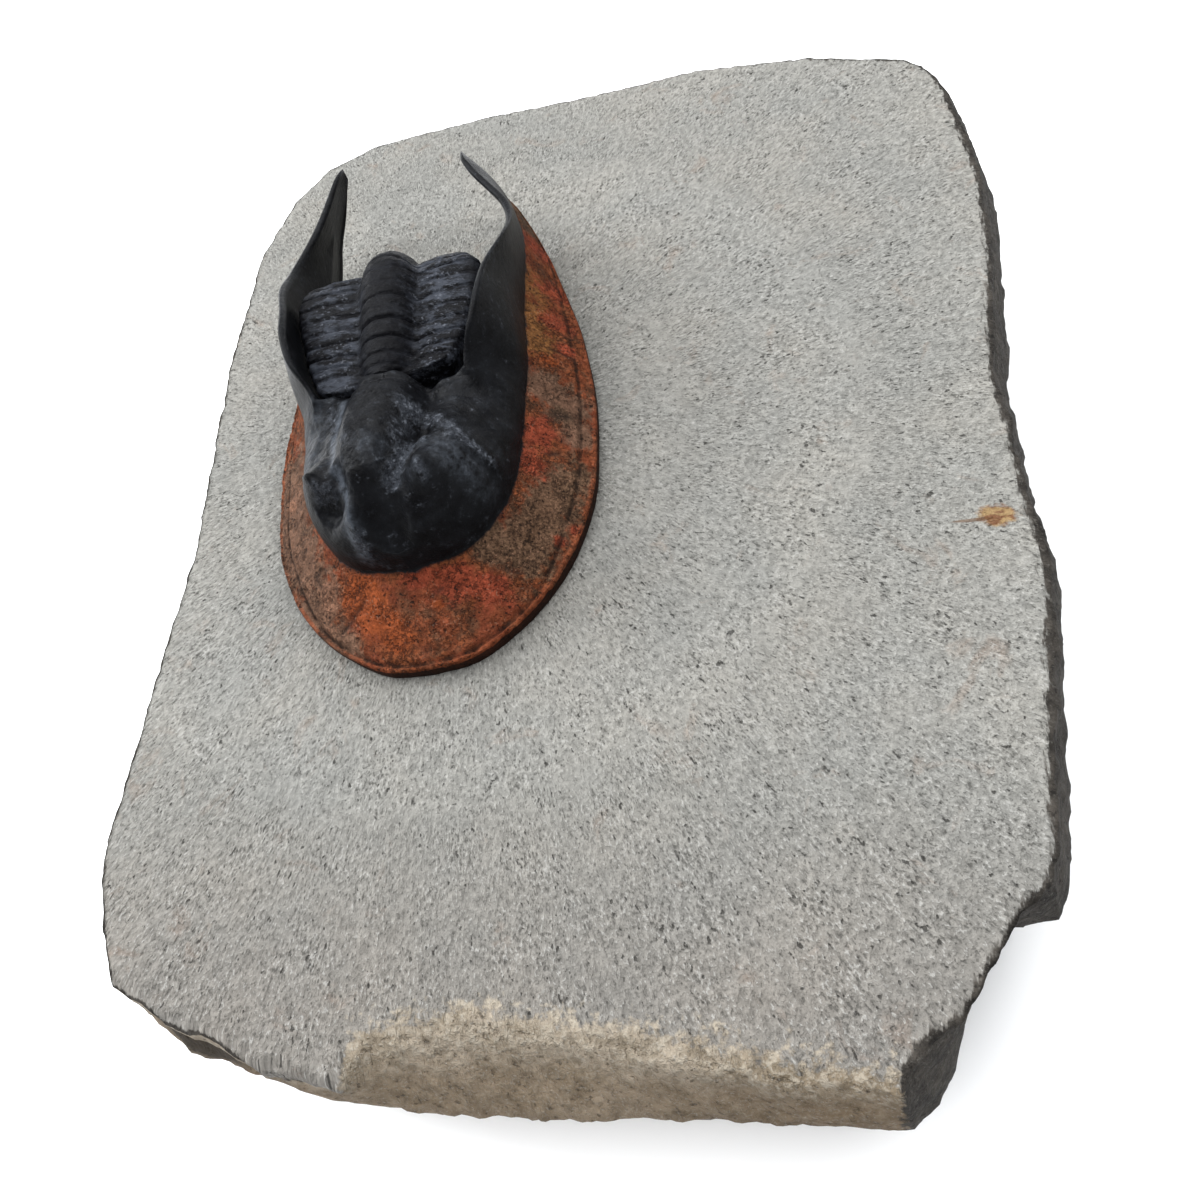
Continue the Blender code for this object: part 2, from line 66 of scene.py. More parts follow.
# ---- small helpers ----
def curve(points, at):
    """Points on the smooth curve through rows of numbers; at runs from 0 to the last index."""
    points = np.asarray(points, float)
    points = points.reshape(len(points), -1)
    last = len(points) - 1
    at = np.clip(np.atleast_1d(np.asarray(at, float)), 0, last)
    first = np.minimum(at.astype(int), last - 1)
    t = (at - first)[:, None]
    before, start = points[np.maximum(first - 1, 0)], points[first]
    end, after = points[first + 1], points[np.minimum(first + 2, last)]
    slope_in, slope_out = (end - before) / 2, (after - start) / 2
    return (
        start * (2 * t**3 - 3 * t**2 + 1)
        + slope_in * (t**3 - 2 * t**2 + t)
        + end * (3 * t**2 - 2 * t**3)
        + slope_out * (t**3 - t**2)
    )


def curve_by_first(table, value):
    """The smooth curve through a table, read where its first number has the given values."""
    table = np.asarray(table, float)
    value = np.clip(value, table[0, 0], table[-1, 0])
    number = np.interp(value, table[:, 0], np.arange(len(table)))
    return curve(table, number)


def ease(value, start=0.0, end=1.0):
    """Go smoothly from 0 at start to 1 at end; end may be the lower one."""
    share = np.clip((value - start) / (end - start), 0.0, 1.0)
    return share * share * (3 - 2 * share)


def bump(distance, radius, height):
    """A rounded bump that ends at its radius."""
    return height * np.clip(1 - (distance / radius) ** 2, 0, 1) ** 2


def bell(distance, width, power=2):
    """1 in the middle, falling off over a width; a higher power makes the top flatter."""
    return np.exp(-((distance / width) ** power))


def noise_at(points, size, octaves, seed=0.0):
    """Fractal noise of about -1 to 1 at rows of points, with lumps of the given size."""
    shift = Vector((seed, seed * 1.7, -seed * 0.6))
    return np.array([noise.fractal(Vector(p) / size + shift, 1.0, 2.0, octaves) for p in points])


class Surface:
    """Collects grids of points, and welds them into one mesh."""

    def __init__(self):
        self.points, self.tags, self.faces, self.count = [], [], [], 0

    def grid(self, points, closed=False, tags=None):
        """Add rows of points; closed joins each row's end to its start. Tags are three numbers a point."""
        rows, columns = points.shape[:2]
        self.tags.append(np.zeros((rows * columns, 3)) if tags is None else tags.reshape(-1, 3))
        number = self.count + np.arange(rows * columns).reshape(rows, columns)
        if closed:
            number = np.hstack([number, number[:, :1]])
        quads = np.stack([number[:-1, :-1], number[:-1, 1:], number[1:, 1:], number[1:, :-1]], axis=-1)
        self.faces += quads.reshape(-1, 4).tolist()
        self.points.append(points.reshape(-1, 3))
        self.count += rows * columns

    def fan(self, loop):
        """Close a loop of points with triangles round its middle."""
        size = len(loop)
        self.tags.append(np.full((size + 1, 3), PAST_BRIM))
        self.points += [np.asarray(loop), np.mean(loop, axis=0)[None]]
        ring = self.count + np.arange(size)
        self.faces += [[int(a), int(b), self.count + size] for a, b in zip(ring, np.roll(ring, -1))]
        self.count += size + 1

    def mesh(self, name):
        """The welded mesh, in millimetres, closed and with outward faces."""
        made = bpy.data.meshes.new(name)
        made.from_pydata(np.concatenate(self.points).tolist(), [], self.faces)
        for number, tag in enumerate(("inside_foot", "inside_rim", "inside_edge") if self.tags else ()):
            paint(made, tag, np.concatenate(self.tags)[:, number])
        bm = bmesh.new()
        bm.from_mesh(made)
        bmesh.ops.remove_doubles(bm, verts=bm.verts, dist=WELD)
        bmesh.ops.dissolve_degenerate(bm, edges=bm.edges, dist=WELD)
        open_edges = [edge for edge in bm.edges if edge.is_boundary]
        if open_edges:
            bmesh.ops.holes_fill(bm, edges=open_edges, sides=0)
        bmesh.ops.triangulate(bm, faces=[face for face in bm.faces if len(face.verts) > 4])
        bmesh.ops.recalc_face_normals(bm, faces=bm.faces)
        bm.to_mesh(made)
        bm.free()
        made.shade_smooth()
        return made


def read(mesh):
    """The mesh's points as rows."""
    points = np.empty(len(mesh.vertices) * 3)
    mesh.vertices.foreach_get("co", points)
    return points.reshape(-1, 3)


def write(mesh, points):
    """Set the mesh's points."""
    mesh.vertices.foreach_set("co", np.asarray(points, float).ravel())
    mesh.update()


def paint(mesh, name, values):
    """Keep one number a point, for the materials."""
    layer = mesh.attributes.new(name, "FLOAT", "POINT")
    layer.data.foreach_set("value", np.asarray(values, np.float32))


def line_distance(points, line):
    """Each point's distance, as seen from above, from a line through (x, y) corners."""
    points, line = points[:, :2], np.asarray(line, float)
    best = np.full(len(points), np.inf)
    for start, end in zip(line[:-1], line[1:]):
        along = end - start
        share = np.clip((points - start) @ along / max(along @ along, 1e-9), 0, 1)
        best = np.minimum(best, np.linalg.norm(points - start - share[:, None] * along, axis=1))
    return best


def line_marks(points, marks):
    """What marks add up to at each point: each is a line of (x, y) corners, a half width and an amount."""
    total = np.zeros(len(points))
    for line, half, amount in marks:
        total += amount * bell(line_distance(points, line), half)
    return total


def to_world(points):
    """From the trilobite's across, along and height to the part's frame, both in millimetres."""
    turned = points.copy()
    turned[:, 0] = points[:, 0] * math.cos(TURN) - points[:, 1] * math.sin(TURN) + FRONT_TIP[0]
    turned[:, 1] = points[:, 0] * math.sin(TURN) + points[:, 1] * math.cos(TURN) + FRONT_TIP[1]
    turned[:, 2] = points[:, 2] + SLAB_TOP
    return turned


def place(name, mesh, node, material):
    """Put a finished mesh, given in millimetres, into the scene in the place of a node."""
    write(mesh, read(mesh) * MM)
    piece = bpy.data.objects.new(name, mesh)
    bpy.context.scene.collection.objects.link(piece)
    mesh.materials.append(material)
    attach(piece, "root")
    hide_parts(node)


class Shader:
    """A short way to write a material's nodes. Every coordinate is in millimetres."""

    def __init__(self, name, **settings):
        self.material = bpy.data.materials.new(name)
        self.material.use_nodes = True
        self.tree = self.material.node_tree
        self.shader = self.tree.nodes["Principled BSDF"]
        for socket, value in settings.items():
            self.shader.inputs[socket.replace("_", " ")].default_value = value
        coordinates = self.node("TexCoord").outputs["Object"]
        inputs = [(0, coordinates), ("Scale", 1 / MM)]
        self.place = self.node("VectorMath", inputs, operation="SCALE").outputs["Vector"]

    def node(self, kind, inputs=(), **settings):
        """A new node; inputs are pairs of a socket and what goes into it."""
        made = self.tree.nodes.new("ShaderNode" + kind)
        for key, value in settings.items():
            setattr(made, key, value)
        for socket, value in inputs:
            self.put(made.inputs[socket], value)
        return made

    def put(self, socket, value):
        """Link a node's output to the socket, or set its value."""
        if isinstance(value, bpy.types.NodeSocket):
            self.tree.links.new(value, socket)
        else:
            socket.default_value = value

    def vector(self, operation, *values):
        """Vector arithmetic."""
        made = self.node("VectorMath", enumerate(values), operation=operation)
        return made.outputs["Value" if operation == "LENGTH" else "Vector"]

    def split(self, vector):
        """A vector's x, y and z."""
        return self.node("SeparateXYZ", [(0, vector)]).outputs

    def join(self, *values):
        """A vector of up to three numbers; those left out are 0."""
        return self.node("CombineXYZ", enumerate(values)).outputs[0]

    def math(self, operation, *values, clamp=False):
        """Arithmetic."""
        return self.node("Math", enumerate(values), operation=operation, use_clamp=clamp).outputs[0]

    def add(self, first, second):
        return self.math("ADD", first, second)

    def minus(self, first, second):
        return self.math("SUBTRACT", first, second)

    def times(self, first, second, clamp=False):
        return self.math("MULTIPLY", first, second, clamp=clamp)

    def swing(self, value, amount=None):
        """Move a value of 0 to 1 so that it swings round 0, an amount wide in all."""
        centred = self.minus(value, 0.5)
        return centred if amount is None else self.times(centred, amount)

    def noise(self, size, detail, rough, at=None, stretch=None, distortion=0.0):
        """Noise with lumps of about size millimetres, 0 to 1; stretch lengthens them on each axis."""
        at = self.place if at is None else at
        if stretch:
            at = self.vector("DIVIDE", at, stretch)
        numbers = (("Scale", 1 / size), ("Detail", detail), ("Roughness", rough), ("Distortion", distortion))
        return self.node("TexNoise", [("Vector", at), *numbers]).outputs["Fac"]

    def span(self, value, low, high, start=0.0, end=1.0):
        """Map low..high to start..end, clamped."""
        numbers = (("From Min", low), ("From Max", high), ("To Min", start), ("To Max", end))
        return self.node("MapRange", [("Value", value), *numbers]).outputs["Result"]

    def mix(self, share, first, second, how="MIX"):
        """Go from the first colour to the second by a share."""
        first, second = ((*c, 1.0) if isinstance(c, tuple) else c for c in (first, second))
        inputs = ((0, share), (6, first), (7, second))
        return self.node("Mix", inputs, data_type="RGBA", blend_type=how).outputs[2]

    def tint(self, colour, factor):
        """A colour times another, or times a number."""
        return self.mix(1.0, colour, factor, "MULTIPLY")

    def mottle(self, share, colour, low, high):
        """Go from a colour times low to the colour times high, by a share; both are numbers or colours."""
        low, high = ((factor,) * 3 if isinstance(factor, float) else factor for factor in (low, high))
        return self.mix(share, self.tint(colour, low), self.tint(colour, high))

    def painted(self, name):
        """The number kept at each point by paint."""
        return self.node("Attribute", attribute_name=name).outputs["Fac"]

    def finish(self, colour, roughness, height, depth):
        """Set the shader's colour and roughness, and bump by height, depth millimetres deep."""
        relief = self.node("Bump", [("Strength", 1.0), ("Distance", depth * MM), ("Height", height)])
        normal = relief.outputs["Normal"]
        for socket, value in (("Base Color", colour), ("Roughness", roughness), ("Normal", normal)):
            self.put(self.shader.inputs[socket], value)
        return self.material


STUDIO_GAIN = 2.2          # the lights are this much brighter than a white surface needs


def srgb(red, green, blue):
    """A colour of 0 to 255, as it is to look under the studio's lights, as a linear colour."""
    return tuple(((value / 255 + 0.055) / 1.055) ** 2.4 / STUDIO_GAIN for value in (red, green, blue))


# ---- slab ----
# corners of the top, counterclockwise from the back right
TOP_EDGE = [
    (36.8, 40.0), (35.7, 44.1), (33.4, 47.1), (23.5, 50.8), (11.2, 52.7), (-1.8, 51.9), (-14.3, 52.2),
    (-28.3, 50.9), (-34.0, 48.1), (-37.3, 43.5), (-40.0, 34.2), (-40.0, 17.9), (-37.8, -7.1), (-38.3, -34.2),
    (-37.8, -38.0), (-34.4, -45.5), (-29.3, -48.4), (-25.7, -49.0), (-20.2, -51.2), (-14.5, -52.0),
    (-13.0, -49.2), (-5.0, -47.7), (6.7, -49.0), (17.7, -50.7), (23.2, -51.4), (23.4, -50.0),
    (25.4, -48.1), (27.0, -47.2), (28.3, -45.7), (30.4, -42.4), (31.4, -40.9), (33.7, -39.0),
    (34.4, -36.8), (35.1, -31.6), (37.1, -17.1), (36.2, 4.9), (38.0, 17.2), (38.3, 27.9),
]
# and below each of them, where the slab is widest
BULGE_EDGE = [
    (38.9, 42.4), (37.3, 46.2), (34.3, 48.5), (24.0, 51.8), (11.4, 53.2), (-1.8, 52.6), (-14.6, 52.8),
    (-28.8, 51.6), (-34.8, 48.8), (-38.2, 44.0), (-40.5, 34.4), (-40.6, 17.9), (-38.8, -7.2), (-39.2, -34.4),
    (-38.6, -38.4), (-35.2, -46.4), (-30.2, -49.4), (-26.8, -50.4), (-20.4, -51.8), (-14.3, -52.8),
    (-11.0, -53.2), (-2.6, -53.1), (6.0, -52.9), (17.2, -53.0), (23.8, -53.0), (25.6, -51.7),
    (26.6, -50.4), (27.7, -47.6), (28.6, -45.8), (30.9, -42.6), (32.2, -41.6), (34.9, -40.4),
    (35.6, -37.6), (36.5, -31.9), (39.0, -15.5), (38.1, 3.6), (39.6, 17.4), (40.6, 30.4),
]
BULGE_DEPTH = 6.5          # how far below the top the slab is widest
BASE_INSET = 2.2           # and how much narrower it is at its base
# rings of points between the top and the bulge, and from there down
UPPER_SHARES = (0.0, 0.04, 0.1, 0.18, 0.27, 0.37, 0.48, 0.6, 0.73, 0.87, 1.0)
LOWER_SHARES = np.linspace(0.08, 1.0, 12)
# the side draws in below the notch at the front right
NOTCH_AT = (31.0, -43.5)
NOTCH_REACH = 4.5
NOTCH_DEPTH = 3.2
NOTCH_WAY = np.array([-0.62, 0.78])
EDGE_GAP = 0.45            # spacing of the points along the slab's edge
TOP_GAP = 0.46             # and over its top
ROW_GAP = TOP_GAP * 0.866
JITTER = TOP_GAP * 0.18
FRONT_LINE = (-43.5, -46.5)  # the bevelled front sets in over this stretch of y
FRONT_END = (23.7, 22.5)   # and from the right over this stretch of x
RECESS_MIDDLE, RECESS_HALF_WIDTH = -28.0, 4.2


def around(corners, fractions):
    """Points round the outline; each fraction counts corners."""
    ring = np.array(corners + corners[:1])
    first = np.minimum(fractions.astype(int), len(corners) - 1)
    share = (fractions - first)[:, None]
    return ring[first] * (1 - share) + ring[first + 1] * share


def edge_fractions():
    """Where the points along the edge lie, a steady gap apart."""
    ring = np.array(TOP_EDGE + TOP_EDGE[:1])
    found = []
    for number in range(len(TOP_EDGE)):
        steps = max(1, round(np.linalg.norm(ring[number + 1] - ring[number]) / EDGE_GAP))
        found += [number + step / steps for step in range(steps)]
    return np.array(found)


def slab_sides(top, bulge):
    """Rings of points from the top edge out to the widest ring, and in again to the flat underside."""
    notch = bell(np.linalg.norm(bulge - NOTCH_AT, axis=1), NOTCH_REACH)[:, None] * NOTCH_DEPTH

    def ring(flat, depth):
        """One ring below the top, drawn in at the notch."""
        flat = flat + notch * (depth / SLAB_TOP) ** 0.6 * NOTCH_WAY
        return np.column_stack([flat, np.full(len(flat), SLAB_TOP - depth)])

    rings = [ring(top + (bulge - top) * share ** 0.8, share * BULGE_DEPTH) for share in UPPER_SHARES]
    inward = bulge / np.linalg.norm(bulge, axis=1)[:, None] * BASE_INSET
    for share in LOWER_SHARES:
        rings.append(ring(bulge - inward * share, BULGE_DEPTH + (SLAB_TOP - BULGE_DEPTH) * share))
    return np.stack(rings)


def slab_net(top):
    """Points and faces of a fine net that fills the top edge."""
    low, high = top.min(axis=0), top.max(axis=0)
    inner = []
    for row, y in enumerate(np.arange(low[1], high[1], ROW_GAP)):
        for x in np.arange(low[0] + (row % 2) * TOP_GAP / 2, high[0], TOP_GAP):
            inner.append((x, y))
    inner = np.array(inner)
    inner += np.column_stack([np.sin(inner[:, 1] * 31.7), np.cos(inner[:, 0] * 27.3)]) * JITTER
    inside = np.zeros(len(inner), bool)
    for (x0, y0), (x1, y1) in zip(top, np.roll(top, -1, axis=0)):
        crosses = (y0 > inner[:, 1]) != (y1 > inner[:, 1])
        if y1 != y0:
            inside ^= crosses & (inner[:, 0] < (x1 - x0) * (inner[:, 1] - y0) / (y1 - y0) + x0)
    clear = np.full(len(inner), True)
    for spot in top:
        clear &= np.abs(inner - spot).sum(axis=1) > TOP_GAP * 0.75
    flat = np.vstack([top, inner[inside & clear]])
    loop = [(number, (number + 1) % len(top)) for number in range(len(top))]
    points, _, faces, *_ = geometry.delaunay_2d_cdt([Vector(p) for p in flat], loop, [], 1, 1e-6)
    return np.array([(p.x, p.y, SLAB_TOP) for p in points]), faces


def weather_slab(points):
    """Break the slab's sides and chisel its top; return what its material needs to know at each point."""
    x, y = points[:, 0].copy(), points[:, 1].copy()
    inset = line_distance(points, TOP_EDGE + TOP_EDGE[:1])
    depth = SLAB_TOP - points[:, 2]
    is_top = depth < 0.001
    front = ease(y, *FRONT_LINE) * ease(x, *FRONT_END)
    outward = points[:, :2] / np.linalg.norm(points[:, :2], axis=1)[:, None]
    lumps = noise_at(points, 4.0, 4)
    grains = noise_at(points, 1.1, 3, 5.0)
    low_side = ease(points[:, 2], 0.0, 1.5)
    push = (-0.30 + 0.42 * lumps + 0.16 * grains) * np.where(is_top, np.exp(-inset / 0.9), 1.0) * low_side
    # the recess under the edge at the left end of the front
    at_recess = bell(x - RECESS_MIDDLE, RECESS_HALF_WIDTH) * (y < -40)
    push -= 0.9 * at_recess * bell(depth - 3.0, 2.4)
    points[:, :2] += outward * push[:, None]
    # the top: chisel marks, a slight swell, and an edge that falls away
    drop = -0.07 + 0.085 * noise_at(points, 0.9, 3, 9.0) + 0.09 * noise_at(points, 14.0, 2, 3.0)
    fall = np.exp(-inset / 0.7) * (0.28 + 0.25 * lumps) + front * np.exp(-inset / 1.6) * (0.5 + 0.5 * grains)
    fading = np.exp(-depth / (0.6 + 1.6 * front)) * low_side
    points[:, 2] += (drop - fall) * np.where(is_top, 1.0, fading)
    # at the left of the front the grey runs down over the edge
    x = points[:, 0]
    grey_end = front * ease(x, -23.0, -21.0) * ease(x, -13.4, -15.0) * ease(depth, 2.2, 1.0)
    rim_width = 0.25 + 0.4 * ease(x, 20.0, 26.0)
    tan_reach = np.exp(-inset / 1.5) * ease(x, -20.0, -14.0)
    brim = STATIONS[:, 0, [1, 0]]
    outline = np.vstack([brim * (-1, 1), brim[::-1]])
    outline = to_world(np.column_stack([outline, np.zeros(len(outline))]))[:, :2]
    return {
        "broken": np.where(is_top, np.exp(-inset / rim_width), 1.0) * (1 - grey_end),
        "front": front * np.where(is_top, tan_reach, 1.0) * (1 - grey_end),
        "depth": depth,
        # painted shade in the recess under the front edge
        "recess_shade": at_recess * bell(depth - 3.8, 2.9),
        # painted shade round the fossil's brim
        "fossil_shade": bell(line_distance(points, outline), 2.2),
    }


def make_slab():
    """The slab: a chiselled top on a fine net, ragged broken sides and a flat underside."""
    fractions = edge_fractions()
    top = around(TOP_EDGE, fractions)
    surface = Surface()
    surface.grid(slab_sides(top, around(BULGE_EDGE, fractions)), closed=True)
    surface.tags = []
    points, faces = slab_net(top)
    surface.points.append(points)
    surface.faces += [[index + surface.count for index in face] for face in faces]
    mesh = surface.mesh("matrix_slab_stone")
    points = read(mesh)
    layers = weather_slab(points)
    write(mesh, points)
    for name, values in layers.items():
        paint(mesh, name, values)
    return mesh


# ---- head shield ----
# from the front to the end of a prolongation: (along, across, height) of the rim, of the foot of the roll
# inside the brim, and of the crest over it
STATIONS = np.array([
    ((0.7, 0.0, 1.1), (7.7, 0.0, 5.0), (9.4, 0.0, 12.4)),
    ((1.1, 3.6, 1.1), (8.1, 2.6, 5.0), (9.7, 2.0, 12.2)),
    ((2.7, 6.6, 1.1), (8.8, 4.7, 5.0), (10.2, 3.8, 11.6)),
    ((5.2, 9.6, 1.1), (10.0, 6.3, 5.0), (11.2, 5.2, 11.4)),
    ((8.5, 12.1, 1.1), (12.0, 7.8, 5.0), (12.8, 6.2, 11.4)),
    ((12.4, 13.9, 1.1), (14.6, 9.0, 5.0), (15.0, 6.7, 11.4)),
    ((16.1, 14.9, 1.1), (17.3, 9.5, 5.0), (17.4, 6.9, 11.4)),
    ((20.2, 15.3, 1.0), (20.6, 9.9, 5.0), (20.6, 7.2, 11.0)),
    ((24.2, 15.5, 1.0), (24.0, 10.2, 5.0), (23.0, 6.9, 11.4)),
    ((27.4, 15.4, 1.0), (26.9, 10.5, 5.2), (25.4, 8.3, 13.4)),
    ((30.5, 15.1, 1.0), (29.8, 10.5, 5.2), (28.4, 9.1, 14.0)),
    ((34.4, 14.6, 1.0), (33.6, 10.4, 5.2), (32.0, 9.7, 13.5)),
    ((38.5, 13.7, 1.0), (37.9, 10.6, 5.2), (36.6, 10.9, 12.2)),
    ((42.3, 12.8, 1.0), (41.8, 10.7, 5.2), (40.4, 11.1, 10.7)),
    ((45.8, 12.0, 1.2), (45.2, 10.5, 5.2), (43.6, 10.5, 10.1)),
    ((48.8, 11.2, 2.3), (48.2, 10.0, 6.0), (46.6, 9.2, 10.1)),
    ((50.7, 10.2, 4.3), (50.3, 9.1, 7.4), (49.2, 7.9, 10.5)),
    ((52.1, 8.7, 6.4), (51.9, 8.0, 8.4), (51.4, 7.0, 10.8)),
    ((53.0, 7.5, 8.3), (52.9, 7.1, 9.3), (52.8, 6.6, 10.6)),
    ((53.6, 6.6, 9.9), (53.6, 6.5, 10.1), (53.6, 6.4, 10.3)),
])
HORN_START = 8             # the station where a prolongation leaves the head
LAST_STATION = len(STATIONS) - 1
BLADE_START = 12           # from here on it thins to a blade
# how far out the foot of a prolongation's inner face lies, at each of its stations
INNER_FOOT = [6.1, 7.6, 9.0, 10.6, 12.0, 12.2, 11.5, 11.0, 9.9, 8.5, 7.3, 6.4]
# how far back each row of the head's stations ends on the axis
AXIS_END = [10.4, 11.0, 12.2, 13.6, 15.2, 17.0, 18.8, 20.4, 21.6]
CREST_SHARE = 0.72
CREST_FADE = 7.0
BRIM_TOP = 5.0
# along and height
CHEEK_TOP = [(7.0, 11.8), (12.0, 12.0), (15.0, 11.9), (18.0, 11.2), (20.5, 10.5), (24.0, 10.1)]
# along, height and half width
GLABELLA = [
    (9.6, 11.6, 1.4), (10.8, 13.0, 1.5), (12.0, 14.0, 1.8), (14.0, 14.6, 2.4), (16.0, 14.5, 2.8),
    (18.5, 13.9, 3.0), (21.0, 13.0, 3.0), (23.4, 12.0, 2.7),
]
GLABELLA_AXIS = -0.45
GLABELLA_FRONT = (9.4, 11.6)  # it rises over this stretch
FURROW_WIDTH = 0.8
FURROW_DEPTH = 0.6
# mounds and hollows of the dome: across, along, radius, height
MOUNDS = [
    (4.4, 12.3, 3.8, 1.8), (4.3, 11.2, 1.9, 1.2), (-5.5, 13.2, 3.2, 1.5), (-6.0, 12.7, 1.3, 0.8),
    (-4.4, 10.9, 1.8, -0.8),
]
# the rear margin reaches back behind the glabella, over these half widths on the left and on the right
REAR_REACH = 1.5
REAR_HALF_WIDTH = (4.2, 2.9)
TIP_STRETCH = (43.0, 53.0)
TIP_UNEVEN = 1.2
TIP_LEAN = 0.4
ROLL_BULGE = 0.9
SHELL = 0.6
BURIED = -0.25             # the brim goes this far into the stone
PAST_BRIM = 9.0            # tag of the points that lie well past the brim
# points under the rim: share of its height, and how far out
UNDER_RIM = ((0.0, -0.12), (0.3, -0.05), (0.55, 0.02), (0.78, 0.03), (0.92, 0.0))
# ridges and grooves along the brim: height, how far in, and width
LIP = (0.22, 0.18, 0.12)            # counted from the rim
GROOVE = (-0.20, 0.0, 0.17)         # counted from the groove's own place
INNER_RIDGE = (0.10, 0.42, 0.24)    # counted from the groove
STATION_STEPS = 20
BRIM_STEPS = 32
ROLL_STEPS = 24
ACROSS_STEPS = 48
INNER_STEPS = 34


def dome_height(along, across, share):
    """Height of the head's top; share is 0 on the axis and 1 at the foot of the roll."""
    top = np.interp(along, *np.array(CHEEK_TOP).T)
    height = BRIM_TOP + (top - BRIM_TOP) * np.sqrt(np.clip(1 - share**4, 0, 1))
    _, ridge, half = curve_by_first(GLABELLA, along).T
    from_axis = np.abs(across - GLABELLA_AXIS)
    begun = ease(along, *GLABELLA_FRONT)
    lobe = bell(from_axis, half, 4) * begun
    height += (ridge - height) * lobe
    trough = bell(from_axis - half - FURROW_WIDTH, FURROW_WIDTH)
    height -= FURROW_DEPTH * trough * ease((1 - share) * 3) * begun
    for middle, behind, radius, rise in MOUNDS:
        height += bump(np.hypot(across - middle, along - behind), radius, rise)
    return height


def swell(distance, profile):
    """Height of a ridge or groove of the brim at a distance."""
    height, middle, width = profile
    return height * bell(distance - middle, width)


def brim_rows(at):
    """Rows of points from under the rim, over its lip and the groove inside it, to the foot of the roll."""
    rim, foot = curve(STATIONS[:, 0], at), curve(STATIONS[:, 1], at)
    inward = foot - rim
    width = np.maximum(np.linalg.norm(inward, axis=1), 0.01)
    inward = inward / width[:, None]
    scale = np.minimum(1.0, width / 4.0)
    lifted = ease(rim[:, 2], 1.2, 2.2)
    bottom = (rim[:, 2] - 0.8) * lifted + BURIED * (1 - lifted)
    groove_at = 0.6 + ease(at, 2.5, 5.0) * ease(at, 14.0, 10.0)
    columns, tags = [], []
    for share, out in UNDER_RIM:
        point = rim - inward * (out * scale)[:, None]
        point[:, 2] = bottom + (rim[:, 2] - bottom) * share
        columns.append(point)
        tags.append(np.column_stack([-width, np.full(len(width), share - 3), np.full(len(width), share - 1)]))
    for share in np.linspace(0, 1, BRIM_STEPS + 1) ** 1.35:
        reach = share * width
        point = rim + inward * reach[:, None]
        edge = reach / scale
        past = edge - groove_at
        point[:, 2] += scale * (swell(edge, LIP) + swell(past, GROOVE) + swell(past, INNER_RIDGE))
        columns.append(point)
        tags.append(np.column_stack([reach - width, past + 1, edge]))
    return columns, tags


def roll_rows(foot, at):
    """The steep outer face above the brim of a prolongation, bulging a little."""
    crest = curve(STATIONS[:, 2], at)
    outward = crest - foot
    outward[:, 2] = 0
    length = np.linalg.norm(outward, axis=1)
    bulge = ROLL_BULGE * np.minimum(1.0, length / 2.5)
    outward = -outward / np.maximum(length, 0.01)[:, None]
    columns = []
    for share in np.linspace(0, 1, ROLL_STEPS + 1)[1:]:
        columns.append(foot + (crest - foot) * share + outward * (bulge * math.sin(math.pi * share))[:, None])
    return columns


def with_tags(columns, tags, foot):
    """Stack columns, and tag those past the brim by their height above the foot of the roll."""
    for number, column in enumerate(columns[len(tags):]):
        tag = np.full((len(foot), 3), PAST_BRIM)
        if number < ROLL_STEPS:
            tag[:, 0] = column[:, 2] - foot[:, 2]
        tags.append(tag)
    return np.stack(columns, axis=1), np.stack(tags, axis=1)


def head_rows(side):
    """One side of the head, 1 for the right: rows from under the rim to the axis."""
    at = np.linspace(0, HORN_START, HORN_START * STATION_STEPS + 1)
    columns, tags = brim_rows(at)
    foot = columns[-1].copy()
    end = np.zeros_like(foot)
    end[:, 0] = curve(AXIS_END, at)[:, 0]
    to_horn = ease(at - HORN_START + 1)[:, None]
    for step, target in enumerate(roll_rows(foot, at), start=1):
        share = 1 - (1 - CREST_SHARE) * (step / ROLL_STEPS) ** 1.5
        point = end + (foot - end) * share
        point[:, 2] = dome_height(point[:, 0], point[:, 1] * side, share)
        columns.append(point * (1 - to_horn) + target * to_horn)
    crest = columns[-1].copy()
    step_up = crest[:, 2] - dome_height(crest[:, 0], crest[:, 1] * side, CREST_SHARE)
    half = REAR_HALF_WIDTH[1 if side > 0 else 0]
    rear = REAR_REACH * ease(at, HORN_START - 3, HORN_START)
    for step in range(1, ACROSS_STEPS + 1):
        share = 1 - step / ACROSS_STEPS
        point = end + (crest - end) * share
        point[:, 0] += rear * bell(point[:, 1] * side - GLABELLA_AXIS, half, 4) * (1 - share**6)
        point[:, 2] = dome_height(point[:, 0], point[:, 1] * side, CREST_SHARE * share)
        point[:, 2] += step_up * math.exp((share - 1) * CREST_FADE)
        columns.append(point)
    return with_tags(columns, tags, foot)


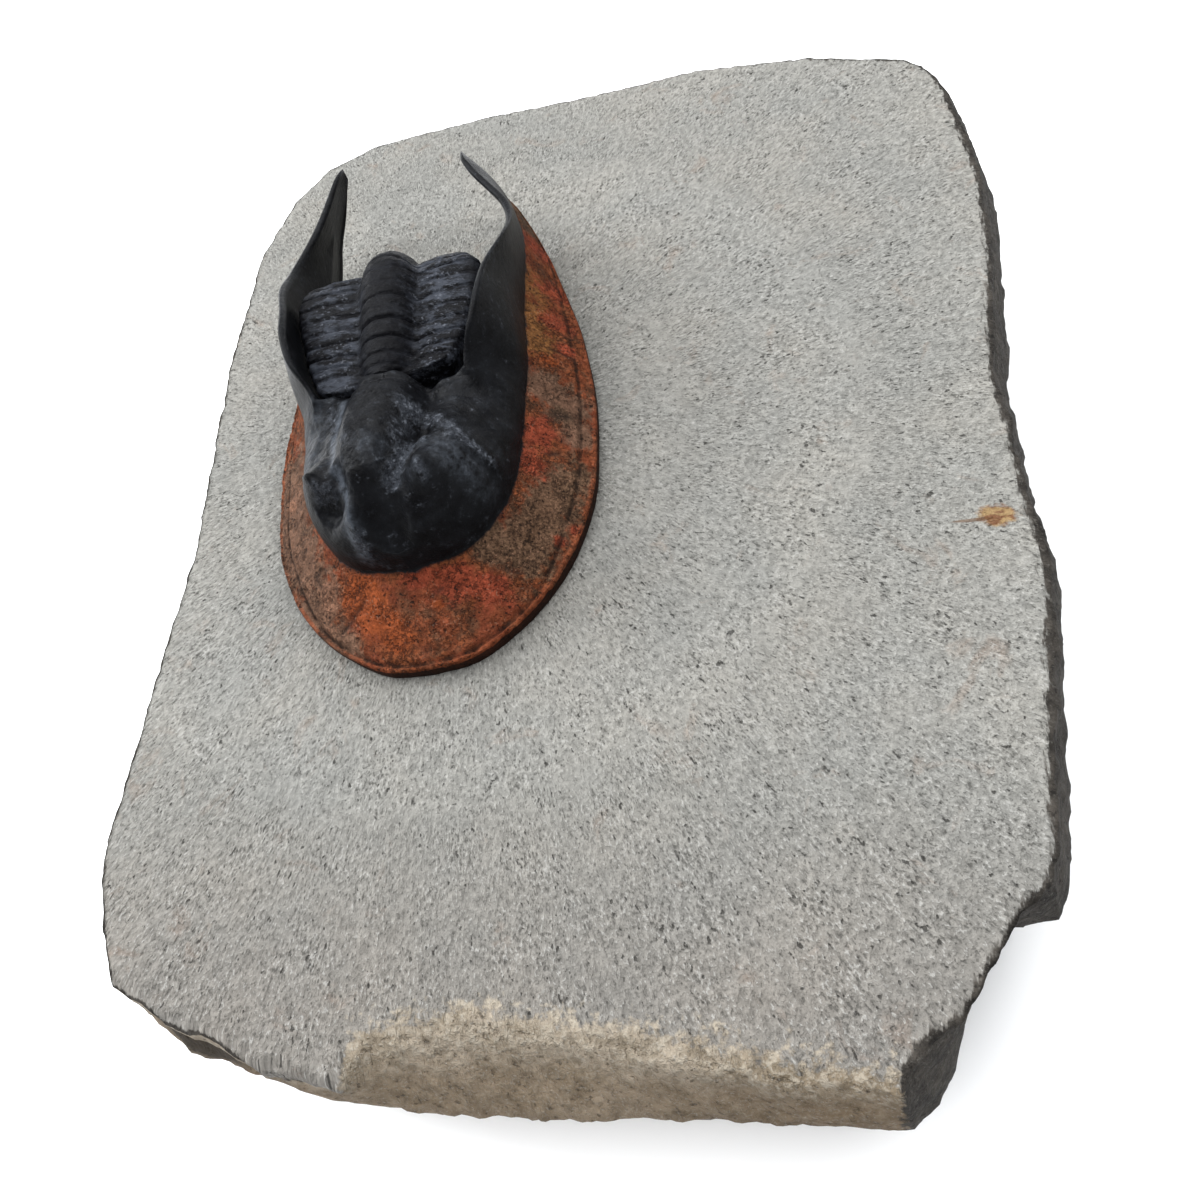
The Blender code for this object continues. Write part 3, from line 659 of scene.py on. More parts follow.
def horn_rows():
    """A prolongation: rows right round it, from under the rim over the crest and down its inner face."""
    at = np.linspace(HORN_START, LAST_STATION, (LAST_STATION - HORN_START) * STATION_STEPS + 1)
    columns, tags = brim_rows(at)
    foot = columns[-1]
    columns += roll_rows(foot, at)
    outside = np.stack(columns, axis=1)
    crest, rim_foot = columns[-1], columns[0]
    inner = curve(INNER_FOOT, at - HORN_START)[:, 0]
    apart = ease(at - HORN_START)
    shell = SHELL * np.minimum(0.4 + 0.6 * apart, 0.15 + (LAST_STATION - at) / 4.0)
    inner_crest = crest + np.column_stack([-0.2 * apart, -shell, np.full(len(at), -0.15)])
    lean = 0.5 + 0.45 * ease(at, BLADE_START, BLADE_START + 4)
    inner_foot = np.column_stack([crest[:, 0] + (rim_foot[:, 0] - crest[:, 0]) * lean, inner, rim_foot[:, 2]])
    for share in (0.33, 0.67):      # the crest is rounded
        point = crest * (1 - share) + inner_crest * share
        point[:, 2] += 0.12 * apart * np.minimum(1, shell / 0.5)
        columns.append(point)
    for share in np.linspace(0, 1, INNER_STEPS):
        point = inner_crest + (inner_foot - inner_crest) * share
        for row in range(len(at)):
            heights = np.maximum.accumulate(outside[row, 4:, 2])
            limit = np.interp(point[row, 2], heights, outside[row, 4:, 1]) - shell[row]
            point[row, 1] = min(point[row, 1], limit)
        columns.append(point)
    return with_tags(columns, tags, foot)


def uneven_tips(points):
    """The two prolongations aren't quite the same length."""
    side = np.where(points[:, 1] < 0, 1.0, -1.0)
    share = ease(points[:, 0], *TIP_STRETCH)
    points[:, 0] += side * TIP_UNEVEN * share
    points[:, 1] -= TIP_LEAN * share
    return points


def make_head():
    """Head shield, with its brim, prolongations, glabella and eyes."""
    surface = Surface()
    for side in (1, -1):
        (head, head_tags), (horn, horn_tags) = head_rows(side), horn_rows()
        # a wall closes the head behind, between the feet of the two prolongations' inner faces
        corner = head.shape[1] - ACROSS_STEPS - 1
        horn[0, : corner + 1] = head[-1, : corner + 1]
        wall_side = horn[0, corner + 1:]
        upper = head[-1, corner:]
        rows = [upper]
        floor = wall_side[-1, 2]
        for number, spot in enumerate(wall_side, start=1):
            share = number / len(wall_side)
            lower = upper.copy()
            lower[:, 1] *= spot[1] / upper[0, 1]
            lower[:, 2] += (floor - upper[:, 2]) * share
            lower[0] = spot
            rows.append(lower)
        wall = np.stack(rows)
        wall_tags = np.full(wall.shape, PAST_BRIM)
        for part, tags in ((head, head_tags), (horn, horn_tags), (wall, wall_tags)):
            surface.grid(part * (1, side, 1), part is horn, tags)
        surface.fan(horn[-1] * (1, side, 1))
    surface.points = [uneven_tips(np.concatenate(surface.points))[:, [1, 0, 2]]]
    return surface.mesh("cephalon_shield")


# fine relief of the dome: a line of (across, along) points, its half width and its height
RELIEF = [
    ([(-4.3, 21.8), (-4.4, 17.8), (-3.8, 15.2), (-3.2, 13.4)], 0.85, 0.75),
    ([(-3.2, 13.4), (-2.5, 11.6), (-2.3, 9.9), (-2.6, 8.5), (-2.9, 8.1)], 0.7, 0.65),
    ([(1.7, 10.4), (2.3, 11.9), (2.8, 13.4), (3.5, 14.8), (4.6, 15.6), (6.0, 15.2)], 0.5, 0.32),
    ([(2.6, 12.3), (3.4, 13.4), (4.6, 13.9)], 0.6, -0.3),
    ([(6.0, 15.2), (6.8, 13.9), (7.0, 12.6)], 0.6, 0.25),
    ([(2.8, 19.4), (4.8, 17.4), (6.6, 15.8), (8.1, 14.4)], 0.9, 0.35),
    ([(6.9, 13.7), (7.6, 13.4), (7.9, 12.5)], 0.25, -0.18),
    ([(0.0, 15.6), (0.8, 14.8), (1.4, 13.6)], 0.5, -0.16),
    ([(-1.6, 16.6), (-1.0, 15.2)], 0.4, -0.12),
    ([(-7.4, 15.8), (-6.6, 13.6), (-4.4, 12.2), (-3.2, 11.6)], 0.45, 0.35),
    ([(-6.9, 13.2), (-5.4, 11.6), (-3.6, 10.7)], 0.6, -0.55),
    ([(-5.6, 21.0), (-6.0, 18.4), (-6.4, 16.2)], 0.7, -0.25),
    ([(-3.6, 22.0), (-0.4, 22.6), (2.8, 22.0)], 0.32, -0.35),
    ([(2.4, 22.2), (4.2, 21.4), (6.4, 21.6)], 0.5, 0.2),
]


def head_relief_and_highlights(local):
    """Cut the fine relief of the dome, and tell how pale each spot is from wear and painted highlight, and how
    bright its scuffs and painted highlights are.
    """
    across, along, up = local.T
    over = ease(up, 5.6, 7.2) * ease(along, 23.8, 22.6)
    dents = noise_at(local, 1.6, 3, 21.0)
    chips = noise_at(local, 0.55, 2, 27.0)
    pale, scuff_highlight = line_marks(local, PALE_WEAR_AND_HIGHLIGHTS), line_marks(local, SCUFF_HIGHLIGHTS)
    crinkle = 1 - 2 * np.abs(noise_at(local, 0.9, 3, 41.0))
    wrinkled = 0.13 * np.clip(scuff_highlight, 0, 1) * crinkle
    up += over * (line_marks(local, RELIEF) + 0.13 * dents + 0.06 * chips + wrinkled)
    # the rear margin reaches back to the thorax on the left
    reach = ease(along, 19.5, 21.5) * ease(along, 24.2, 23.2) * bell(across + 4.7, 1.5, 4)
    along += 0.75 * reach * ease(up, 3.0, 6.0)
    # the front below the glabella is one steep hollow face
    slope = 7.8 + (along - 8.0) * 1.62
    window = bell(across - 0.25, 1.6, 4) * (along < 12.5) * ease(up, 7.5, 8.5)
    up += window * np.minimum(0, slope - up)
    return over * np.clip(pale + 0.25 * dents, 0, 1.5), over * np.clip(scuff_highlight, 0, 1.2)


# scuffs of the dome, paler and bright ones, laid where the dome catches the light so that they also paint its
# highlights: a line of (across, along) points, its half width and a strength
PALE_WEAR_AND_HIGHLIGHTS = [
    ([(5.6, 13.6), (6.3, 12.8)], 1.5, 0.8), ([(-2.9, 8.3), (-2.7, 8.6)], 0.9, 0.8),
    ([(4.2, 10.9), (4.1, 11.1)], 0.45, 1.0),
    ([(-4.4, 21.6), (-4.5, 17.8), (-3.9, 15.2), (-3.2, 13.2), (-2.6, 11.4), (-2.5, 9.9), (-2.9, 8.5)],
     0.42, 1.5),
    ([(1.5, 11.2), (2.2, 13.2), (2.8, 14.4), (4.0, 14.6)], 0.5, 1.0),
    ([(-7.0, 22.5), (-7.6, 18.0), (-7.2, 15.0)], 1.4, 0.6), ([(-0.6, 14.2), (0.6, 13.4)], 0.9, 0.35),
]
SCUFF_HIGHLIGHTS = [
    ([(1.2, 11.0), (1.7, 12.2), (2.2, 13.3), (2.8, 14.4), (3.6, 14.9)], 0.5, 1.3),
    ([(2.4, 19.0), (3.4, 18.0), (4.8, 17.0), (6.1, 15.8)], 0.8, 0.9), ([(6.6, 15.1), (8.1, 14.2)], 0.4, 0.9),
    ([(2.4, 18.7), (2.3, 16.6), (1.9, 14.9)], 0.5, 0.7), ([(-2.4, 15.2), (-1.2, 14.6)], 0.9, 0.35),
    ([(-3.0, 8.1), (-2.5, 8.3)], 0.5, 0.9), ([(-5.2, 12.1), (-4.0, 11.9)], 0.5, 0.7),
    ([(-5.6, 21.6), (-4.8, 18.5)], 0.7, 0.5), ([(4.2, 10.8), (4.2, 11.1)], 0.35, 1.2),
]


# stains of the brim: (across, along, radius) of each patch
STAINS = {
    "brown": [
        (-7.4, 3.8, 1.8), (-9.9, 7.2, 2.6), (-11.4, 12.0, 3.0), (-13.4, 17.0, 3.4), (-14.0, 22.5, 3.8),
        (13.9, 20.4, 1.6), (13.2, 23.6, 2.0), (11.2, 25.6, 1.6),
    ],
    "rose": [(-8.2, 8.2, 1.5), (-13.2, 19.4, 1.0)],
    "olive": [
        (6.4, 9.2, 1.7), (9.0, 8.8, 2.3), (10.8, 12.0, 2.6), (12.8, 15.6, 2.2), (12.6, 22.6, 1.0),
        (10.0, 48.8, 3.0), (-10.0, 48.8, 3.0),
    ],
    "gold": [(11.0, 30.4, 1.9), (10.9, 34.0, 1.8), (11.1, 38.2, 1.9)],
    "orange": [(-5.2, 7.3, 1.7), (-3.8, 5.2, 1.9), (-2.0, 3.3, 1.3), (1.6, 5.2, 0.6), (12.0, 28.4, 0.8)],
    "red": [
        (0.2, 7.4, 1.2), (3.3, 6.7, 1.6), (6.2, 5.9, 1.5), (10.2, 16.6, 1.3), (10.8, 20.0, 1.7),
        (13.4, 30.6, 0.8), (12.9, 11.1, 0.5), (11.7, 9.9, 0.5), (12.7, 34.0, 1.4), (12.6, 38.6, 1.6),
        (11.7, 44.5, 1.4),
    ],
}
# its cracks and holes: a line of (across, along) points, its half width and a strength
DARK_MARKS = [
    ([(-4.7, 6.6), (-6.1, 5.8), (-7.4, 5.2)], 0.22, 1.0), ([(12.3, 22.5), (12.9, 22.5)], 0.62, 1.0),
    ([(12.2, 30.1), (13.0, 30.0), (13.8, 29.6)], 0.2, 1.0), ([(1.2, 5.9), (2.2, 6.2)], 0.2, 1.0),
    ([(7.4, 7.5), (8.3, 7.2)], 0.25, 1.0), ([(11.6, 17.9), (12.3, 18.4)], 0.22, 1.0),
    ([(-9.2, 9.4), (-9.8, 10.4)], 0.2, 1.0),
]


def stained_brim(mesh, local):
    """Roughen the brim, and paint its stains and dark marks."""
    tag = np.empty(len(local))
    mesh.attributes["inside_foot"].data.foreach_get("value", tag)
    on_brim = ease(tag, 0.0, -0.6) * ease(local[:, 2], 0.4, 1.0)
    pits = np.clip(noise_at(local, 0.7, 3, 33.0) - 0.25, 0, 1)
    rise = 0.13 * noise_at(local, 1.5, 4, 31.0) + 0.08 * noise_at(local, 0.5, 3, 35.0) - 0.30 * pits
    for name, spots in STAINS.items():
        amount = np.zeros(len(local))
        for across, along, radius in spots:
            amount += bell(np.hypot(local[:, 0] - across, local[:, 1] - along), radius)
        paint(mesh, name, np.clip(amount, 0, 1))
    dark = line_marks(local, DARK_MARKS)
    paint(mesh, "dark", np.clip(dark, 0, 1))
    local[:, 2] += on_brim * (rise - 0.12 * dark)


# ---- thorax and tail ----
THORAX_SHIFT = -0.6        # its axis lies this far to the left
# the spine: along, height and half width
SPINE = [
    (23.65, 11.8, 4.0), (24.5, 12.0, 5.8), (27.2, 12.2, 7.1), (30.2, 12.4, 7.9), (33.5, 12.7, 8.6),
    (36.0, 12.8, 8.5), (37.8, 12.2, 7.8), (39.4, 10.7, 6.9), (41.2, 8.2, 5.8), (42.8, 5.3, 4.7),
    (44.2, 2.2, 3.7),
]
TAIL_SPINE = [(44.0, 2.1, 3.6), (45.3, 1.6, 3.3), (46.4, 1.1, 2.4), (47.4, 0.7, 1.0)]
TAIL_JOINTS = [(45.3, 45.3, 0.5, 0.5), (45.9, 45.9, 0.5, 0.5)]
# how far the axis rises over the sides, where the body is narrow and where it is wide
AXIS_RISE = (1.1, 1.9)
AXIS_RISE_HALF_WIDTH = (4.4, 8.5)
THORAX_UNDERCUT = 2.2      # the sides draw in by this toward the stone
LOWEST_RING = 0.55         # the rings come no nearer to it
# from the axis to the side of a ring: share of the half width, and the drop
RING_PROFILE = [
    (0.0, 0.0), (0.12, -0.08), (0.23, -0.42), (0.32, -0.95), (0.42, -0.92), (0.6, -0.85), (0.8, -0.85),
    (0.94, -0.95), (1.0, -1.3),
]
# joints between segments: along the axis, along at the pleural ends, and the depth at each
JOINTS = [
    (24.4, 25.3, 0.3, 0.5), (25.7, 26.5, 0.6, 0.7), (27.5, 27.8, 1.0, 0.8), (29.5, 29.3, 1.0, 0.7),
    (30.9, 30.8, 0.1, 0.4), (32.1, 32.4, 0.6, 0.5), (33.7, 34.0, 0.1, 0.4), (35.3, 35.5, 0.15, 0.3),
    (36.8, 36.9, 0.4, 0.6), (38.2, 38.3, 0.6, 0.8), (39.6, 39.7, 0.7, 0.8), (41.0, 41.0, 0.7, 0.8),
    (42.3, 42.3, 0.7, 0.8), (43.4, 43.4, 0.7, 0.8),
]
JOINT_WIDTH = 0.15
JOINT_DEPTH = 0.34
RING_SWELL = 0.10
RING_STEPS = 44
BODY_STEPS = 300
TAIL_STEPS = 60
TAIL_SHEEN = 0.3
UNDERCUT_STEPS = 12


def ringed_body(name, spine, joints, steps):
    """The arched rings on a curved spine, as a closed mesh."""
    at = np.linspace(0, len(spine) - 1, steps + 1)
    along, height, half = curve(spine, at).T
    ahead, behind = curve(spine, at + 0.05), curve(spine, at - 0.05)
    lean = np.column_stack([-(ahead[:, 1] - behind[:, 1]), ahead[:, 0] - behind[:, 0]])
    lean /= np.linalg.norm(lean, axis=1)[:, None]
    rise = AXIS_RISE[0] + (AXIS_RISE[1] - AXIS_RISE[0]) * ease(half, *AXIS_RISE_HALF_WIDTH)
    rise *= np.minimum(1.0, half / AXIS_RISE_HALF_WIDTH[0])
    columns = []
    for share in np.linspace(0, 1, RING_STEPS + 1):
        drop = curve_by_first(RING_PROFILE, share)[0, 1]
        joint = np.zeros(len(at))
        outer = float(ease(share, 0.25, 0.5))
        lines = np.array([axis + (pleura - axis) * outer for axis, pleura, *_ in joints])
        for line, (_, _, on_axis, on_pleura) in zip(lines, joints):
            depth = on_axis + (on_pleura - on_axis) * outer
            joint = np.maximum(joint, depth * bell(along - line, JOINT_WIDTH))
        phase = np.interp(along, lines, np.arange(len(lines))) % 1
        ridge = RING_SWELL * np.sin(np.pi * phase) ** 0.8
        lift = drop * rise + ridge - JOINT_DEPTH * joint * np.minimum(1, rise)
        z = np.maximum(height + lean[:, 1] * lift, LOWEST_RING)
        columns.append(np.column_stack([half * share, along + lean[:, 0] * lift, z]))
    side = columns[-1]
    undercut = np.minimum(THORAX_UNDERCUT, half * 0.3)
    for share in np.linspace(0, 1, UNDERCUT_STEPS + 1)[1:]:
        inward = undercut * np.interp(share, [0, 0.45, 1], [0, 0.4, 1])
        z = side[:, 2] * (1 - share) + BURIED * share
        columns.append(np.column_stack([half - inward, side[:, 1], z]))
    right = np.stack(columns, axis=1)
    right[..., 1] = np.maximum.accumulate(right[..., 1], axis=0)
    left = right[:, :0:-1] * (-1, 1, 1)
    rows = np.concatenate([left, right], axis=1)
    rows[..., 0] += THORAX_SHIFT
    surface = Surface()
    surface.grid(rows, closed=True)
    surface.fan(rows[0])
    surface.fan(rows[-1])
    return surface.mesh(name)


def thorax_sheen(local):
    """How strong the painted bluish sheen is: beside the axis, most on the right, and in a streak of painted
    highlight on the left.
    """
    across, along = local[:, 0], local[:, 1]
    sheen = bell(np.abs(across - THORAX_SHIFT) - 5.0, 2.3) * np.where(across > 0, 1.7, 1.1) + 0.1
    return sheen + 0.9 * bell(across + 3.6, 0.45) * ease(along, 34.0, 31.0)


def worn_body(local):
    """Spread the left side to the prolongation, widen the axis toward the head, and crinkle the rings."""
    across, along, up = local.T
    left, high = ease(across, -2.4, -5.4), ease(up, 3.0, 6.0)
    across -= 0.5 * left * high * ease(along, 41.0, 37.0)
    along -= 0.8 * left * ease(along, 26.1, 23.6)
    from_axis = across - THORAX_SHIFT
    across += 0.45 * high * bell(np.abs(from_axis) - 2.9, 1.5) * np.sign(from_axis) * ease(along, 34.0, 25.0)
    crinkle = noise_at(local * (0.6, 1.0, 1.0), 0.75, 3, 51.0)
    up += high * (0.09 * crinkle + 0.05 * noise_at(local, 2.6, 2, 53.0))


# ---- materials ----
FAN_CENTRE = (-12.0, 4.0, 0.0)  # the chisel strokes run away from this spot
FAN_START = 4.0
FAN_STROKES = (17.0, 28.0, 46.0)  # how closely they lie: near the fossil, further out and furthest out
FAN_CHANGES = ((21.5, 22.5), (36.5, 37.5))  # the distances over which that changes
# the small rust patch near the right edge and the dash by it: the middle, and how much each is squeezed
RUST_SPOT, RUST_SQUEEZE = (34.1, -11.1, 20.0), (1.0, 1.45, 0.0)
DASH_SPOT, DASH_SQUEEZE = (32.3, -11.35, 20.0), (0.32, 3.2, 0.0)
STAIN_COLOURS = (
    ("brown", srgb(134, 104, 86)), ("rose", srgb(160, 118, 96)), ("olive", srgb(120, 95, 76)),
    ("gold", srgb(168, 116, 70)), ("orange", srgb(177, 92, 52)), ("red", srgb(174, 84, 60)),
)


def chisel(m):
    """Return a function that makes noise drawn out along the chisel strokes."""
    x, y, z = m.split(m.vector("SUBTRACT", m.place, FAN_CENTRE))
    reach = m.math("MAXIMUM", m.math("SQRT", m.add(m.times(x, x), m.times(y, y))), FAN_START)
    ragged = m.add(reach, m.swing(m.noise(2.0, 2.0, 0.6), 8.0))
    middle, far = (m.span(ragged, *change) for change in FAN_CHANGES)
    fan = m.join(reach, m.math("DIVIDE", x, reach), m.math("DIVIDE", y, reach))
    lift = m.join(z)

    def struck(size, detail, rough, long):
        """The noise; it is long times as long as it is wide."""
        found = []
        for strokes in FAN_STROKES:
            at = m.vector("ADD", m.vector("MULTIPLY", fan, (1.0, strokes, strokes)), lift)
            found.append(m.noise(size, detail, rough, at, (long, 1.0, 1.0)))
        return m.mix(far, m.mix(middle, *found[:2]), found[2])

    return struck


def grey_stone(m, stroke, fleck, pits, cloud, crowd):
    """The chiselled top: grey with pink clouds, strokes, flecks, pits and the small rust patch; strokes,
    flecks and pits also carry painted shade and highlights of the chiselled relief, and painted shade lies
    beside the fossil.
    """
    grey = m.mix(m.span(m.noise(11.0, 4.0, 0.6), 0.38, 0.64), srgb(180, 179, 173), srgb(188, 185, 177))
    pink = m.span(m.noise(4.2, 4.0, 0.65, distortion=0.8), 0.60, 0.74, 0.0, 0.55)
    grey = m.mix(pink, grey, srgb(178, 158, 142))
    # darker toward the front, painted shade beside the fossil, and warmer at the front
    along = m.split(m.place)[1]
    shade = m.times(m.span(along, -26.0, -46.0, 1.0, 0.78), m.span(m.painted("fossil_shade"), 0.0, 1.0, 1.0, 0.82))
    grey = m.tint(grey, shade)
    grey = m.mix(m.span(along, -32.0, -46.0, 0.0, 0.6), grey, m.tint(grey, (1.06, 0.985, 0.955)))
    # strokes, flecks and pits: the grain's own marks, with painted shade in their low parts and painted
    # highlights on their high ones
    grey = m.mottle(m.span(stroke, 0.34, 0.66), grey, 0.74, 1.22)
    dark_fleck_and_shade = m.span(m.add(fleck, crowd), 0.43, 0.33)
    pale_fleck_and_highlight = m.span(m.minus(fleck, crowd), 0.58, 0.68)
    grey = m.mix(m.times(dark_fleck_and_shade, 0.62), grey, srgb(84, 82, 78))
    grey = m.mix(m.times(pale_fleck_and_highlight, 0.55), grey, srgb(232, 230, 224))
    grey = m.mix(m.times(pits, 0.8), grey, srgb(62, 60, 56))
    from_rust = m.vector("MULTIPLY", m.vector("SUBTRACT", m.place, RUST_SPOT), RUST_SQUEEZE)
    rust = m.span(m.add(m.vector("LENGTH", from_rust), m.times(m.noise(0.9, 3.0, 0.7), 1.7)), 2.45, 1.95)
    rust_grain = m.span(m.noise(0.5, 2.0, 0.6, stretch=(2.2, 0.8, 1.0)), 0.42, 0.56)
    grey = m.mix(m.times(rust, 0.9), grey, m.mix(rust_grain, srgb(196, 160, 108), srgb(140, 88, 48)))
    from_dash = m.vector("MULTIPLY", m.vector("SUBTRACT", m.place, DASH_SPOT), DASH_SQUEEZE)
    dash = m.span(m.add(m.vector("LENGTH", from_dash), m.times(cloud, 0.5)), 0.8, 0.62)
    return m.mix(m.times(dash, 0.7), grey, srgb(120, 84, 52))


def tan_stone(m, cloud, crumb, clod, grain):
    """The weathered front: tan, paler near the top and browner to the right, with clods and crumbs and painted
    shade in the hollows between the clods.
    """
    depth = m.painted("depth")
    tan = m.mix(m.span(depth, 0.6, 3.2), srgb(210, 196, 176), srgb(188, 168, 143))
    tan = m.mix(m.span(m.split(m.place)[0], 8.0, 18.0), tan, m.tint(tan, (0.74, 0.70, 0.64)))
    tan = m.mix(m.span(cloud, 0.36, 0.66), m.tint(tan, (0.78, 0.76, 0.72)), tan)
    tan = m.mottle(m.span(crumb, 0.32, 0.68), tan, (0.62, 0.60, 0.57), 1.22)
    high = m.span(depth, 2.6, 0.4)
    pale_clod = m.times(m.span(clod, 0.50, 0.62), m.add(m.times(high, 0.6), 0.15))
    tan = m.mix(pale_clod, tan, srgb(222, 210, 190))
    # painted shade in the hollows between the clods
    tan = m.mix(m.span(clod, 0.40, 0.33, 0.0, 0.75), tan, srgb(96, 82, 66))
    return m.mix(m.span(grain, 0.56, 0.72, 0.0, 0.4), tan, srgb(226, 222, 212))


def dark_stone(m, cloud, crumb, clod, grain):
    """The broken sides: dark, with painted shade in their hollows and pale crumbs."""
    dark = m.mix(m.span(cloud, 0.35, 0.68), srgb(76, 71, 66), srgb(98, 92, 85))
    dark = m.mottle(m.span(crumb, 0.36, 0.66), dark, 0.5, 1.35)
    # painted shade in the hollows
    dark = m.mix(m.span(clod, 0.42, 0.34, 0.0, 0.75), dark, srgb(40, 37, 34))
    dark = m.mix(m.span(m.noise(0.5, 4.0, 0.7), 0.58, 0.68, 0.0, 0.45), dark, srgb(150, 146, 138))
    return m.mix(m.span(grain, 0.6, 0.75, 0.0, 0.35), dark, srgb(150, 147, 140))


def limestone():
    """Grey limestone: chiselled on top, with broken sides, a tan front and painted shade in a recess in it."""
    m = Shader("limestone_chiselled", Metallic=0.0, Specular_IOR_Level=0.15)
    struck = chisel(m)
    stroke = struck(0.42, 3.0, 0.62, 1.5)
    fleck = struck(0.19, 2.0, 0.6, 1.9)
    chip = struck(0.34, 2.0, 0.5, 1.7)
    grain = m.noise(0.20, 2.0, 0.6)
    clod = m.noise(0.62, 3.0, 0.6)
    crumb = m.noise(1.3, 5.0, 0.7)
    cloud = m.noise(3.2, 3.0, 0.6)
    crowd = m.swing(cloud, 0.22)
    pits = m.span(m.add(chip, crowd), 0.33, 0.27)
    broken, front = m.painted("broken"), m.painted("front")
    colour = grey_stone(m, stroke, fleck, pits, cloud, crowd)
    # the broken sides reach in over the edge in small teeth
    teeth = m.swing(m.noise(0.9, 3.0, 0.6, stretch=(0.35, 1.5, 1.0)))
    edge = m.add(m.add(broken, m.swing(cloud, 0.9)), m.times(teeth, m.span(broken, 0.02, 0.3, 0.0, 1.6)))
    colour = m.mix(m.span(edge, 0.35, 0.62), colour, dark_stone(m, cloud, crumb, clod, grain))
    # and the tan front ends in tatters
    tatter = m.add(m.swing(m.noise(1.9, 5.0, 0.72)), m.swing(clod))
    tan_edge = m.add(front, m.times(tatter, m.span(front, 0.02, 0.2, 0.0, 1.5)))
    colour = m.mix(m.span(tan_edge, 0.30, 0.62), colour, tan_stone(m, cloud, crumb, clod, grain))
    # painted shade in the recess under the front edge
    recess_shade = m.span(m.add(m.painted("recess_shade"), m.swing(crumb, 0.6)), 0.28, 0.6, 0.0, 0.92)
    colour = m.mix(recess_shade, colour, srgb(70, 61, 51))
    height = m.add(m.add(stroke, m.times(fleck, 0.8)), m.times(grain, 0.25))
    height = m.minus(height, m.times(pits, 0.4))
    lumpy = m.add(crumb, m.times(clod, 0.5))
    height = m.add(height, m.times(lumpy, m.times(m.math("MAXIMUM", broken, front), 3.0)))
    return m.finish(colour, 0.9, height, 0.32)


def brim_rock(m, cloud, blot, fine, specks):
    """The worn brim: brown to red with its stains, smooth or coarse, with specks, painted glints, a paler lip
    with a painted highlight, and painted shade in the groove and under the rim.
    """
    rock = m.mix(m.span(cloud, 0.38, 0.6), srgb(144, 76, 52), srgb(154, 90, 58))
    rock = m.mix(m.span(m.noise(2.2, 4.0, 0.65), 0.50, 0.62, 0.0, 0.8), rock, srgb(126, 88, 66))
    tangle = m.swing(m.noise(1.1, 5.0, 0.72), 2.4)
    for name, stain in STAIN_COLOURS:
        amount = m.painted(name)
        here = m.span(m.add(amount, tangle), 0.25, 0.70, 0.0, 0.92)
        rock = m.mix(m.times(here, m.span(amount, 0.03, 0.2)), rock, stain)
    # a paler rim lip: its own colour, with a painted highlight along the edge
    lip_colour_and_highlight = m.span(m.minus(m.painted("inside_edge"), 0.25), 0.3, 0.1)
    rock = m.mix(m.times(lip_colour_and_highlight, m.span(blot, 0.4, 0.56, 0.1, 0.7)), rock, srgb(164, 92, 62))
    rock = m.mottle(m.span(blot, 0.34, 0.64), rock, (0.66, 0.64, 0.62), (1.30, 1.29, 1.27))
    coarse = m.math("MAXIMUM", m.painted("olive"), m.span(m.noise(2.7, 3.0, 0.6), 0.48, 0.60, 0.15, 1.0))
    soft = m.mottle(m.span(fine, 0.34, 0.66), rock, (0.82, 0.81, 0.80), (1.14, 1.13, 1.12))
    rough = m.mottle(m.span(fine, 0.36, 0.64), rock, (0.42, 0.41, 0.40), (1.45, 1.43, 1.40))
    rock = m.mix(coarse, soft, rough)
    rock = m.mix(m.times(specks, 0.85), rock, srgb(44, 34, 30))
    # painted glints on the coarse parts
    painted_glint = m.times(m.span(m.noise(0.2, 2.0, 0.6), 0.60, 0.70, 0.0, 0.6), coarse)
    rock = m.mix(painted_glint, rock, srgb(196, 150, 124))
    # painted shade in the groove inside the rim, and under the rim
    rim = m.painted("inside_rim")
    groove_shade = m.times(m.span(m.math("ABSOLUTE", m.minus(rim, 1.0)), 0.28, 0.08), m.span(blot, 0.70, 0.48))
    rock = m.mix(m.times(groove_shade, 0.78), rock, srgb(48, 36, 30))
    under_rim_shade = m.span(rim, -1.15, -2.1)
    return m.mix(m.times(under_rim_shade, 0.85), rock, srgb(50, 38, 33))


def dome_satin(m, scuff):
    """The black dome, with dust, worn spots that are also painted highlights, and scuffs painted bright as
    highlights, with painted glints and painted shade specks beside them.
    """
    satin = m.mix(m.span(m.noise(2.0, 4.0, 0.6), 0.35, 0.7), (0.003, 0.003, 0.0035), (0.008, 0.0085, 0.010))
    dust = m.span(m.noise(0.3, 4.0, 0.65), 0.66, 0.78, 0.0, 0.32)
    satin = m.mix(m.times(dust, m.painted("dust_and_shade")), satin, (0.06, 0.063, 0.070))
    # worn spots, laid where the dome catches the light: wear and painted highlight
    wear_and_highlight = m.times(m.painted("wear_and_highlight"), m.span(scuff, 0.34, 0.64), clamp=True)
    satin = m.mix(wear_and_highlight, satin, (0.046, 0.052, 0.062))
    # painted highlights on the scuffs where the dome catches the light, with painted glints
    glint_noise = m.noise(0.42, 4.0, 0.72)
    lit = m.span(m.add(m.painted("scuff_highlight"), m.span(scuff, 0.3, 0.7, -0.55, 0.55)), 0.2, 1.0)
    satin = m.mix(m.times(lit, 0.7), satin, (0.040, 0.044, 0.053))
    satin = m.mix(m.times(m.span(glint_noise, 0.52, 0.66), lit), satin, (0.12, 0.13, 0.15))
    # painted shade specks beside the glints
    return m.mix(m.times(m.span(glint_noise, 0.44, 0.34, 0.0, 0.8), lit), satin, (0.003, 0.003, 0.003))


